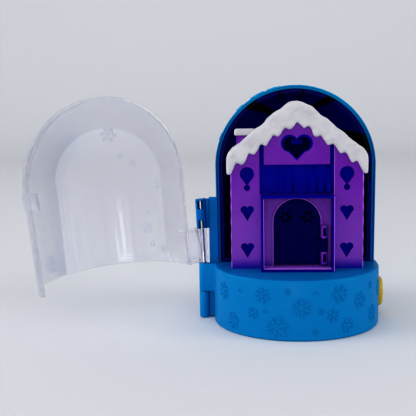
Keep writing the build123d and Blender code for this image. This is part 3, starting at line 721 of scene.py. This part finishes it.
def ornament(relief: Relief, rise: float, voxel: float) -> bmesh.types.BMesh:
    """Model one ornament flat, in millimetres, facing +Z.

    Args:
        relief: The ornament.
        rise: How far it stands out.
        voxel: Size of its faces.

    Returns:
        Its shape.
    """
    bm = bmesh.new()
    size = relief.radius
    width = max(0.16 * size, 0.42)
    if relief.kind is Ornament.RING:
        tube = bmesh.ops.create_circle(bm, cap_ends=False, radius=rise, segments=8)["verts"]
        place = Matrix.Translation((size - rise, 0, 0)) @ Matrix.Rotation(math.pi / 2, 4, "X")
        bmesh.ops.transform(bm, matrix=place, verts=tube)
        bmesh.ops.spin(
            bm,
            geom=bm.verts[:] + bm.edges[:],
            cent=(0, 0, 0),
            axis=(0, 0, 1),
            angle=math.tau,
            steps=24,
            use_merge=True,
        )
        bmesh.ops.recalc_face_normals(bm, faces=bm.faces)
        return bm
    for arm in range(6):
        way = Vector((math.cos(arm * math.pi / 3), math.sin(arm * math.pi / 3)))
        start = way * size * (0.12 if relief.kind is Ornament.FLAKE else 0.3)
        bar(bm, start, way * (size - width / 2), width, rise)
        if relief.kind is Ornament.STAR:
            continue
        for share, length in ((0.45, 0.3), (0.72, 0.24)):
            for lean in (-1, 1):
                branch = Vector(way)
                branch.rotate(Matrix.Rotation(lean * math.radians(58), 2))
                bar(bm, way * size * share, way * size * share + branch * size * length, width * 0.8, rise)
    return remeshed_mm(bm, voxel)


def remeshed_mm(bm: bmesh.types.BMesh, voxel: float) -> bmesh.types.BMesh:
    """Melt an ornament drawn in millimetres, through metres and back."""
    bmesh.ops.scale(bm, vec=(MM, MM, MM), verts=bm.verts)
    skin = remeshed(bm, voxel, 2)
    bmesh.ops.scale(skin, vec=(1 / MM, 1 / MM, 1 / MM), verts=skin.verts)
    return skin


@dataclass(frozen=True)
class RoundWall:
    """A round wall that relief is laid on: upright up to its spring, and a dome above it.

    Sizes are in millimetres: the arc's centre in Y, the radius at the foot and at the spring.
    """

    centre_y: float
    foot: float
    foot_radius: float
    spring: float
    radius: float

    def point(self, turn: float, along: float, out: float) -> Vector:
        """A point on the wall.

        Args:
            turn: Angle about the upright axis, in degrees from +X.
            along: Distance up the wall: the height, and past the spring the length of the arc.
            out: Distance out from the wall.

        Returns:
            The point in metres.
        """
        climb = min(along, self.spring)
        share = (climb - self.foot) / (self.spring - self.foot)
        reach = self.foot_radius + (self.radius - self.foot_radius) * share + out
        height = climb
        if along > self.spring:
            rise = (along - self.spring) / self.radius
            reach = (self.radius + out) * math.cos(rise)
            height = self.spring + (self.radius + out) * math.sin(rise)
        way = math.radians(turn)
        return Vector((reach * math.cos(way), self.centre_y + reach * math.sin(way), height)) * MM

    def along(self, height: float) -> float:
        """The distance up the wall that reaches a height."""
        if height <= self.spring:
            return height
        return self.spring + self.radius * math.asin((height - self.spring) / self.radius)

    def girth(self, height: float) -> float:
        """The wall's radius at a height."""
        if height <= self.spring:
            return self.radius
        return math.sqrt(max(self.radius**2 - (height - self.spring) ** 2, 1.0))

    def wrap(self, reliefs: Iterable[Relief], rise: float, voxel: float) -> bmesh.types.BMesh:
        """Lay ornaments on the wall.

        Args:
            reliefs: The ornaments.
            rise: How far they stand out.
            voxel: Size of their faces.

        Returns:
            All of them in one bmesh, in metres.
        """
        shapes: list[bmesh.types.BMesh] = []
        for relief in reliefs:
            bm = ornament(relief, rise, voxel)
            tilt = Matrix.Rotation(math.radians(relief.tilt), 3, "Z")
            bmesh.ops.rotate(bm, cent=(0, 0, 0), matrix=tilt, verts=bm.verts)
            start = self.along(relief.height)
            per_mm = math.degrees(1 / self.girth(relief.height))
            for vert in bm.verts:
                across, up, out = vert.co
                vert.co = self.point(relief.turn + across * per_mm, start + up, out)
            shapes.append(bm)
        whole = joined_up(shapes)
        bmesh.ops.recalc_face_normals(whole, faces=whole.faces)
        return whole


# ---- the object's sub-assemblies ----------------------------------------------------------
@dataclass
class Base:
    """The round base: two blue drums, their floor plates and screws, and raised snowflakes."""

    edge_mm: float = 0.35
    rise_mm: float = 0.32
    voxel_mm: float = RELIEF_VOXEL_MM
    plate_edge_mm: float = 0.25
    arc_set_mm: float = 2.4
    radius_mm: float = 41.0
    height_mm: float = 28.5
    front_reliefs: tuple[Relief, ...] = (
        Relief(Ornament.FLAKE, -105, 6.7, 5.4, 12),
        Relief(Ornament.FLAKE, -89, 16.0, 4.6, 30),
        Relief(Ornament.FLAKE, -63, 21.6, 4.4, 5),
        Relief(Ornament.FLAKE, -68, 11.6, 3.4, 20),
        Relief(Ornament.FLAKE, -57, 6.2, 3.8, 48),
        Relief(Ornament.FLAKE, -115, 21.0, 4.0, 40),
        Relief(Ornament.FLAKE, -139, 6.4, 4.2, 15),
        Relief(Ornament.FLAKE, -122, 12.1, 3.0, 33),
        Relief(Ornament.FLAKE, -46, 16.8, 4.2, 10),
        Relief(Ornament.STAR, -76, 13.8, 1.7, 0),
        Relief(Ornament.STAR, -98, 23.6, 1.8, 15),
        Relief(Ornament.RING, -80, 22.8, 1.2),
        Relief(Ornament.RING, -113, 13.9, 1.2),
        Relief(Ornament.FLAKE, -30, 8.0, 4.4, 20),
        Relief(Ornament.STAR, -34, 22.5, 2.0, 10),
        Relief(Ornament.FLAKE, -16, 18.5, 4.2, 0),
        Relief(Ornament.STAR, -80, 4.6, 1.7, 25),
        Relief(Ornament.FLAKE, -150, 19.5, 4.4, 25),
        Relief(Ornament.RING, -132, 21.8, 1.2),
    )
    rear_reliefs: tuple[Relief, ...] = (
        Relief(Ornament.FLAKE, 128, 9.0, 5.0, 10),
        Relief(Ornament.FLAKE, 152, 18.5, 4.2, 35),
        Relief(Ornament.STAR, 140, 20.5, 2.0, 5),
        Relief(Ornament.RING, 141, 6.0, 1.2),
        Relief(Ornament.FLAKE, 112, 19.5, 4.0, 20),
        Relief(Ornament.FLAKE, 66, 8.5, 4.6, 15),
        Relief(Ornament.FLAKE, 52, 19.0, 4.2, 40),
        Relief(Ornament.STAR, 68, 20.5, 2.0, 0),
        Relief(Ornament.FLAKE, 34, 20.5, 3.6, 12),
    )

    def wall(self, side: int) -> RoundWall:
        """The round wall of the front (-1) or the rear (1) drum."""
        return RoundWall(
            centre_y=side * self.arc_set_mm,
            foot=0.0,
            foot_radius=self.radius_mm,
            spring=self.height_mm,
            radius=self.radius_mm,
        )

    def drums(self) -> None:
        """The front drum with softened edges. The rear one is part of the back shell."""
        bm = soften(node_copy("drum_front"), self.edge_mm)
        placed(bm, "front_drum", finish(Finish.BLUE_ABS), "front_half", ["drum_front"])

    def snowflakes(self) -> None:
        """Raised snowflakes round both drums."""
        blue = finish(Finish.BLUE_ABS)
        front = self.wall(-1).wrap(self.front_reliefs, self.rise_mm, self.voxel_mm)
        placed(front, "front_drum_relief", blue, "front_half")
        rear = self.wall(1).wrap(self.rear_reliefs, self.rise_mm, self.voxel_mm)
        placed(rear, "rear_drum_relief", blue, "back_half")

    def plates(self) -> None:
        """Floor plates with softened edges, and their plated screws."""
        blue = finish(Finish.BLUE_ABS)
        for side, body in (("front", "front_half"), ("rear", "back_half")):
            node = f"{side}_bottom_plate"
            bm = soften(node_copy(node), self.plate_edge_mm)
            placed(bm, f"{side}_floor_plate", blue, body, [node])
            dress(f"{side}_plate_screws", Finish.PLATED_STEEL)
        dress("house_screws", Finish.PLATED_STEEL)

    def build(self) -> None:
        """Build and dress the base."""
        self.drums()
        self.snowflakes()
        self.plates()


@dataclass
class RearGlobe:
    """The arched blue back shell, its printed liner and the relief on its shoulders."""

    edge_mm: float = 0.3
    liner_edge_mm: float = 0.2
    rise_mm: float = 0.3
    voxel_mm: float = RELIEF_VOXEL_MM
    foot_mm: float = 28.5
    foot_radius_mm: float = 39.4
    spring_mm: float = 77.3
    radius_mm: float = 39.8
    reliefs: tuple[Relief, ...] = (
        Relief(Ornament.FLAKE, 165, 96.0, 4.4, 10),
        Relief(Ornament.FLAKE, 150, 78.0, 4.8, 25),
        Relief(Ornament.FLAKE, 166, 52.0, 4.6, 5),
        Relief(Ornament.FLAKE, 128, 60.0, 5.4, 18),
        Relief(Ornament.FLAKE, 105, 84.0, 5.0, 40),
        Relief(Ornament.FLAKE, 96, 46.0, 5.0, 12),
        Relief(Ornament.FLAKE, 70, 66.0, 5.4, 0),
        Relief(Ornament.FLAKE, 55, 92.0, 4.6, 30),
        Relief(Ornament.FLAKE, 40, 50.0, 5.0, 22),
        Relief(Ornament.FLAKE, 18, 76.0, 4.6, 14),
        Relief(Ornament.FLAKE, 125, 107.5, 4.2, 9),
        Relief(Ornament.FLAKE, 48, 109.0, 4.0, 33),
        Relief(Ornament.STAR, 148, 42.0, 2.2, 0),
        Relief(Ornament.STAR, 112, 70.0, 2.2, 20),
        Relief(Ornament.STAR, 84, 96.0, 2.2, 10),
        Relief(Ornament.STAR, 58, 40.0, 2.2, 5),
        Relief(Ornament.STAR, 28, 62.0, 2.2, 25),
        Relief(Ornament.RING, 140, 90.0, 1.4),
        Relief(Ornament.RING, 84, 56.0, 1.4),
        Relief(Ornament.RING, 34, 84.0, 1.4),
    )
    rim_rise_mm: float = 0.48
    rim_reliefs: tuple[Relief, ...] = (
        Relief(Ornament.FLAKE, 166, 112.2, 4.2, 10),
        Relief(Ornament.STAR, 172, 106.0, 2.4, 20),
        Relief(Ornament.FLAKE, 150, 115.2, 3.8, 30),
        Relief(Ornament.STAR, 174, 92.0, 2.2, 0),
    )

    def shell(self) -> None:
        """The back shell with softened edges."""
        bm = soften(node_copy("back_shell"), self.edge_mm)
        placed(bm, "arched_shell", finish(Finish.BLUE_ABS), "back_half", ["back_shell"])

    def snowflakes(self) -> None:
        """Raised snowflakes over the back of the globe."""
        wall = RoundWall(0.0, self.foot_mm, self.foot_radius_mm, self.spring_mm, self.radius_mm)
        bm = joined_up(
            (
                wall.wrap(self.reliefs, self.rise_mm, self.voxel_mm),
                wall.wrap(self.rim_reliefs, self.rim_rise_mm, self.voxel_mm),
            )
        )
        placed(bm, "arched_shell_relief", finish(Finish.BLUE_ABS), "back_half")

    def liner(self) -> None:
        """The liner with softened edges and printed rays."""
        bm = soften(node_copy("interior_backdrop"), self.liner_edge_mm)
        placed(
            bm, "printed_liner", finish(Finish.LINER_ABS), "back_half", ["interior_backdrop"]
        )

    def build(self) -> None:
        """Build and dress the rear of the globe."""
        self.shell()
        self.snowflakes()
        self.liner()


@dataclass
class ClearCover:
    """The clear front half of the globe, standing open, with small relief on its outside."""

    edge_mm: float = 0.16
    rise_mm: float = 0.28
    voxel_mm: float = RELIEF_VOXEL_MM
    foot_mm: float = 28.8
    foot_radius_mm: float = 39.4
    spring_mm: float = 77.3
    radius_mm: float = 39.8
    reliefs: tuple[Relief, ...] = (
        Relief(Ornament.FLAKE, -115.9, 97.1, 4.4, 10),
        Relief(Ornament.RING, -122.6, 85.4, 1.3),
        Relief(Ornament.STAR, -131.8, 81.1, 2.2, 15),
        Relief(Ornament.STAR, -150.5, 68.9, 2.2, 0),
        Relief(Ornament.RING, -139.2, 54.4, 1.5),
        Relief(Ornament.FLAKE, -137.0, 46.4, 3.2, 20),
        Relief(Ornament.RING, -140.6, 38.0, 1.4),
        Relief(Ornament.STAR, -149.3, 35.4, 2.2, 10),
        Relief(Ornament.FLAKE, -53.3, 36.6, 4.8, 5),
    )

    def opening(self) -> Matrix:
        """The turn that takes the closed cover to where it stands open."""
        joint = next(j for j in frame["joints"] if j["name"] == "cover_swing")
        pivot = Vector(joint["pos_m"])
        turn = Matrix.Rotation(math.radians(-joint["range_deg"][0]), 4, Vector(joint["axis"]))
        return Matrix.Translation(pivot) @ turn @ Matrix.Translation(-pivot)

    def shell(self) -> None:
        """The cover with softened edges."""
        bm = soften(node_copy("clear_cover"), self.edge_mm)
        placed(bm, "clear_dome", finish(Finish.CLEAR_PS), "cover", ["clear_cover"])

    def snowflakes(self) -> None:
        """Fine relief on the cover's outside."""
        wall = RoundWall(0.0, self.foot_mm, self.foot_radius_mm, self.spring_mm, self.radius_mm)
        bm = wall.wrap(self.reliefs, self.rise_mm, self.voxel_mm)
        bmesh.ops.transform(bm, matrix=self.opening(), verts=bm.verts)
        placed(bm, "clear_dome_relief", finish(Finish.CLEAR_PS), "cover")

    def build(self) -> None:
        """Build and dress the cover."""
        self.shell()
        self.snowflakes()


@dataclass
class HingeAndLatch:
    """Steel hinge pins, and the yellow push button with its spring and bracket."""

    button_edge_mm: float = 0.2
    bracket_edge_mm: float = 0.15

    def build(self) -> None:
        """Build and dress the hinge and the latch."""
        dress("cover_hinge_pin", Finish.DRAWN_STEEL)
        dress("base_hinge_pin", Finish.DRAWN_STEEL)
        dress("latch_spring", Finish.DRAWN_STEEL)
        bm = soften(node_copy("latch_button"), self.button_edge_mm)
        placed(bm, "push_button", finish(Finish.YELLOW_ABS), "button", ["latch_button"])
        bm = soften(node_copy("button_retainer"), self.bracket_edge_mm)
        placed(
            bm, "spring_bracket", finish(Finish.GREY_ACETAL), "back_half", ["button_retainer"]
        )


@dataclass
class Chalet:
    """The chalet's purple front, its navy backing and frame, the porch and the door."""

    front_wall_mm: float = -16.0
    trim_face_mm: float = -16.5
    doorway_radius_mm: float = 11.3
    doorway_spring_mm: float = 51.4
    wing_edge_mm: float = 31.6
    bay_edge_mm: float = 17.9
    highlight_bead_mm: float = 0.3
    frame_wall_mm: float = 1.2
    porch_floor_mm: float = 1.7
    doorway_half_mm: float = 11.1
    heart_top_mm: float = 91.1
    scroll_y_mm: float = -15.0
    scroll_radius_mm: float = 0.9
    scroll_wire_mm: float = 0.4
    handle_x_mm: float = -8.6
    handle_low_mm: float = 39.6
    handle_high_mm: float = 47.4
    door_face_mm: float = -15.6
    right_leg_foot_mm: float = 50.3
    bay_top_mm: float = 90.0
    wing_top_mm: float = 77.0
    arch_steps: int = 36

    def front(self) -> None:
        """The purple front and the navy panel behind it, both as moulded."""
        bm = node_copy("house_facade")
        placed(
            bm, "chalet_front", finish(Finish.PURPLE_ABS), "front_half", ["house_facade"]
        )
        bm = node_copy("house_backing")
        placed(
            bm, "window_panel", finish(Finish.NAVY_ABS), "front_half", ["house_backing"]
        )

    def porch(self) -> None:
        """A navy frame open at the front and the back, with a floor in it in a lighter purple that is painted
        light.
        """
        low, high = (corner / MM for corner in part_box("porch"))
        front_wall = self.front_wall_mm
        bm = bmesh.new()
        block(bm, (low.x, low.y, low.z), (high.x, front_wall, high.z))
        ends = [f for f in bm.faces if abs(f.normal.y) > 0.9]
        inset = bmesh.ops.inset_individual(bm, faces=ends, thickness=self.frame_wall_mm * MM)
        loops = {e for f in ends for e in f.edges}
        bmesh.ops.delete(bm, geom=ends, context="FACES_ONLY")
        bmesh.ops.bridge_loops(bm, edges=list(loops))
        bmesh.ops.recalc_face_normals(bm, faces=bm.faces)
        soften(bm, 0.25)
        placed(bm, "porch_frame", finish(Finish.NAVY_ABS), "front_half", ["porch"])
        bm = bmesh.new()
        floor_top = low.z + self.porch_floor_mm
        side = self.frame_wall_mm + 0.02
        block(
            bm,
            (low.x + side, low.y + 0.1, low.z + self.frame_wall_mm),
            (high.x - side, front_wall, floor_top),
        )
        sill = (-self.doorway_half_mm, front_wall, low.z + self.frame_wall_mm)
        block(bm, sill, (self.doorway_half_mm, high.y, floor_top))
        soften(bm, 0.2)
        # Painted light: the floor takes the lighter copy of the purple.
        placed(bm, "porch_floor", finish(Finish.PAINTED_LIGHT_PURPLE_ABS), "front_half")

    def painted_highlight_beads(self) -> None:
        """Painted highlights: thin beads in a lighter purple, laid round the doorway, down the porch, along
        the wings and the floor.
        """
        low, high = (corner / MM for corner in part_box("porch"))
        floor = low.z + self.porch_floor_mm
        radius = self.doorway_radius_mm + self.highlight_bead_mm
        arch = upright(-radius, self.trim_face_mm, floor, self.doorway_spring_mm)
        for i in range(1, self.arch_steps):
            turn = math.pi * (1 - i / self.arch_steps)
            across = radius * math.cos(turn)
            arch.append(Vector((across, self.trim_face_mm, self.doorway_spring_mm + radius * math.sin(turn))))
        arch += reversed(upright(radius, self.trim_face_mm, self.right_leg_foot_mm, self.doorway_spring_mm))
        face = self.front_wall_mm
        inner = self.frame_wall_mm
        top = high.z
        shapes = [
            bead(arch, self.highlight_bead_mm),
            bead(upright(high.x - 0.1, low.y, low.z + 0.3, top), 0.22),
            bead(upright(low.x + inner, low.y, floor, top - inner), 0.16),
            bead(upright(self.bay_edge_mm, face, top, self.bay_top_mm), 0.2),
            bead([Vector((x, low.y + 0.1, floor - 0.2)) for x in range(-15, 17, 2)], 0.26),
        ]
        for side in (-1, 1):
            line = upright(side * self.wing_edge_mm, face + 0.1, low.z + 0.3, self.wing_top_mm)
            shapes.append(bead(line, 0.26, 0.4))
        # Painted highlights: lighter purple tubes on the edges where highlights fall.
        placed(
            joined_up(shapes), "chalet_painted_highlights", finish(Finish.PAINTED_LIGHT_PURPLE_ABS), "front_half"
        )

    def door(self) -> None:
        """The door as moulded, and its curved pull handle."""
        navy = finish(Finish.DOOR_NAVY_ABS)
        bm = node_copy("door")
        placed(bm, "arched_door", navy, "door", ["door"])
        face = self.door_face_mm
        bm = bmesh.new()
        steps = 14
        reach = 1.1
        rings = []
        for i in range(steps + 1):
            share = i / steps
            sway = math.sin(share * math.tau) * 0.55
            out = math.sin(share * math.pi) ** 0.5 * reach
            centre = Vector(
                (
                    self.handle_x_mm + sway,
                    face + 0.1 - out,
                    self.handle_low_mm + share * (self.handle_high_mm - self.handle_low_mm),
                )
            )
            ring = bmesh.ops.create_circle(
                bm, cap_ends=False, radius=0.42 * MM, segments=8, matrix=Matrix.Translation(centre * MM)
            )
            rings.append({e for v in ring["verts"] for e in v.link_edges})
        for lower, upper in zip(rings, rings[1:]):
            bmesh.ops.bridge_loops(bm, edges=list(lower | upper))
        bmesh.ops.holes_fill(bm, edges=list(rings[0]) + list(rings[-1]), sides=0)
        bmesh.ops.recalc_face_normals(bm, faces=bm.faces)
        placed(bm, "door_pull", navy, "door")

    def scrolls(self) -> None:
        """A small bow of two loops and a bead that hangs in the notch of the gable heart."""
        whole = bmesh.new()
        middle = self.heart_top_mm - self.scroll_radius_mm
        for side in (-1, 1):
            before = set(whole.verts)
            place = Matrix.Translation((self.scroll_radius_mm * MM, 0, 0))
            tube = bmesh.ops.create_circle(
                whole, cap_ends=False, radius=self.scroll_wire_mm * MM, segments=10, matrix=place
            )["verts"]
            bmesh.ops.rotate(
                whole, cent=(0, 0, 0), matrix=Matrix.Rotation(math.pi / 2, 3, "X"), verts=tube
            )
            edges = {e for v in tube for e in v.link_edges}
            bmesh.ops.spin(
                whole,
                geom=list(tube) + list(edges),
                cent=(0, 0, 0),
                axis=(0, 0, 1),
                angle=math.tau,
                steps=20,
                use_merge=True,
            )
            mine = [v for v in whole.verts if v not in before]
            bmesh.ops.rotate(
                whole, cent=(0, 0, 0), matrix=Matrix.Rotation(math.pi / 2, 3, "X"), verts=mine
            )
            where = (side * (self.scroll_radius_mm + 0.35), self.scroll_y_mm, middle)
            bmesh.ops.translate(whole, vec=Vector(where) * MM, verts=mine)
        knot = Matrix.Translation(Vector((0, self.scroll_y_mm, middle - 0.5)) * MM)
        bmesh.ops.create_icosphere(whole, subdivisions=2, radius=0.5 * MM, matrix=knot)
        bmesh.ops.recalc_face_normals(whole, faces=whole.faces)
        placed(whole, "heart_bow", finish(Finish.NAVY_ABS), "front_half")

    def chimney(self) -> None:
        """The chimney with softened edges."""
        bm = soften(node_copy("chimney"), 0.3)
        placed(bm, "brick_chimney", finish(Finish.PURPLE_ABS), "front_half", ["chimney"])

    def build(self) -> None:
        """Build and dress the chalet."""
        self.front()
        self.porch()
        self.painted_highlight_beads()
        self.door()
        self.scrolls()
        self.chimney()


@dataclass
class Snow:
    """Soft lumpy snow on the roof and on the chimney, moulded in white."""

    voxel_mm: float = 0.42
    melt_rounds: int = 5
    swell_mm: float = 0.42
    lump_mm: float = 6.5
    lump_rise_mm: float = 0.95
    crumb_mm: float = 2.2
    crumb_rise_mm: float = 0.26
    edge_clear_mm: float = 30.0
    end_fade_mm: float = 4.0
    cap_voxel_mm: float = 0.3
    cap_rounds: int = 5

    def puff(self, bm: bmesh.types.BMesh) -> None:
        """Swell the snow into soft lumps, away from its hidden faces and its ends."""
        bm.normal_update()
        moves: list[Vector] = []
        for vert in bm.verts:
            lump = noise.noise(vert.co / (self.lump_mm * MM)) * self.lump_rise_mm
            crumb = noise.noise(vert.co / (self.crumb_mm * MM)) * self.crumb_rise_mm
            past = max(0.0, abs(vert.co.x) / MM - self.edge_clear_mm)
            ends = max(0.0, 1.0 - past / self.end_fade_mm)
            seen = 1.0 if vert.normal.y < 0.3 else 0.0
            rise = self.swell_mm + (lump + crumb) * ends
            moves.append(vert.normal * rise * MM * seen)
        for vert, move in zip(bm.verts, moves):
            vert.co += move

    def roof(self) -> None:
        """The snow along the gable with its drips."""
        bm = remeshed(node_copy("snow_roof"), self.voxel_mm, self.melt_rounds)
        self.puff(bm)
        smooth(bm)
        placed(bm, "roof_snow", finish(Finish.SNOW_ABS), "front_half", ["snow_roof"], 80)

    def cap(self) -> None:
        """The snow on the chimney."""
        bm = remeshed(node_copy("chimney_snow_cap"), self.cap_voxel_mm, self.cap_rounds)
        placed(
            bm, "chimney_snow", finish(Finish.SNOW_ABS), "front_half", ["chimney_snow_cap"], 80
        )

    def build(self) -> None:
        """Build the snow."""
        self.roof()
        self.cap()


# ---- studio -------------------------------------------------------------------------------
@dataclass(frozen=True)
class Softbox:
    """One soft lamp: where it stands, what it faces, how wide and how bright it is."""

    name: str
    place: tuple[float, float, float]
    faces: tuple[float, float, float]
    width: float
    power: float


@dataclass
class Studio:
    """A pale paper sweep, soft lamps and the camera."""

    camera_mm: tuple[float, float, float] = (-20.61, -406.14, 112.67)
    pitch: float = 7.88
    yaw: float = 3.27
    roll: float = -0.95
    lens: float = 70.44
    sky: str = "#E6E7EA"
    sky_strength: float = 0.4
    lamps: tuple[Softbox, ...] = (
        Softbox("overhead", (-0.2, -0.3, 1.9), (0.0, 0.2, 0.05), 1.6, 6.0),
        Softbox("left", (-1.6, -0.4, 0.5), (0.0, 0.0, 0.06), 0.8, 6.5),
        Softbox("right", (1.6, -0.4, 0.5), (0.0, 0.0, 0.06), 0.8, 6.0),
        Softbox("front", (-0.1, -1.8, 0.3), (0.0, 0.0, 0.08), 0.6, 5.0),
    )

    def camera(self) -> None:
        """The camera, level with the roof and a little to the left."""
        data = bpy.data.cameras.new("camera")
        data.lens = self.lens
        data.sensor_width = 36
        eye = added("camera", data)
        pitch, yaw, roll = (math.radians(a) for a in (self.pitch, self.yaw, self.roll))
        level = Vector((-math.sin(yaw), math.cos(yaw), 0))
        right = Vector((math.cos(yaw), math.sin(yaw), 0))
        ahead = math.cos(pitch) * level - math.sin(pitch) * Vector((0, 0, 1))
        up = math.sin(pitch) * level + math.cos(pitch) * Vector((0, 0, 1))
        rolled_right = math.cos(roll) * right + math.sin(roll) * up
        rolled_up = -math.sin(roll) * right + math.cos(roll) * up
        turn = Matrix((rolled_right, rolled_up, -ahead)).transposed().to_4x4()
        eye.matrix_world = Matrix.Translation(Vector(self.camera_mm) * MM) @ turn
        bpy.context.scene.camera = eye

    def sweep(self) -> None:
        """The paper: flat under the object, curving up far behind it."""
        bm = bmesh.new()
        half, front, reach, bend, wall = 2.5, -1.5, 1.1, 0.5, 2.2
        verts = [bm.verts.new((-half, front, 0)), bm.verts.new((-half, reach, 0))]
        bm.edges.new(verts)
        last = verts[-1]
        curve = bmesh.ops.spin(
            bm,
            geom=[last],
            cent=(-half, reach, bend),
            axis=(1, 0, 0),
            angle=math.pi / 2,
            steps=16,
        )["geom_last"]
        top = [g for g in curve if isinstance(g, bmesh.types.BMVert)][0]
        up = bmesh.ops.extrude_vert_indiv(bm, verts=[top])["verts"]
        bmesh.ops.translate(bm, verts=up, vec=(0, 0, wall))
        wide = bmesh.ops.extrude_edge_only(bm, edges=bm.edges[:])["geom"]
        moved = [g for g in wide if isinstance(g, bmesh.types.BMVert)]
        bmesh.ops.translate(bm, verts=moved, vec=(2 * half, 0, 0))
        bmesh.ops.recalc_face_normals(bm, faces=bm.faces)
        mesh = bpy.data.meshes.new("paper_sweep")
        bm.to_mesh(mesh)
        bm.free()
        shade(mesh, 60)
        mesh.materials.append(finish(Finish.PAPER))
        added("paper_sweep", mesh)

    def lights(self) -> None:
        """Soft lamps and a pale sky."""
        for lamp in self.lamps:
            data = bpy.data.lights.new(lamp.name, "AREA")
            data.shape = "SQUARE"
            data.size = lamp.width
            data.energy = lamp.power
            way = Vector(lamp.faces) - Vector(lamp.place)
            turn = way.to_track_quat("-Z", "Y").to_matrix().to_4x4()
            added(lamp.name, data).matrix_world = Matrix.Translation(lamp.place) @ turn
        world = bpy.data.worlds.new("studio_sky")
        world.use_nodes = True
        sky = world.node_tree.nodes["Background"]
        sky.inputs["Color"].default_value = linear(self.sky)
        sky.inputs["Strength"].default_value = self.sky_strength
        bpy.context.scene.world = world

    def build(self) -> None:
        """Set up the studio."""
        self.camera()
        self.sweep()
        self.lights()
        bpy.context.scene.view_settings.view_transform = "Standard"
        bpy.context.scene.view_settings.look = "Very High Contrast"


def main() -> None:
    """Build the studio and every sub-assembly in order."""
    logging.basicConfig(level=logging.INFO, format="%(name)s %(message)s")
    for assembly in (Studio(), Base(), RearGlobe(), ClearCover(), HingeAndLatch(), Chalet(), Snow()):
        LOG.info("building %s", type(assembly).__name__)
        assembly.build()


if __name__ == "__main__":
    main()
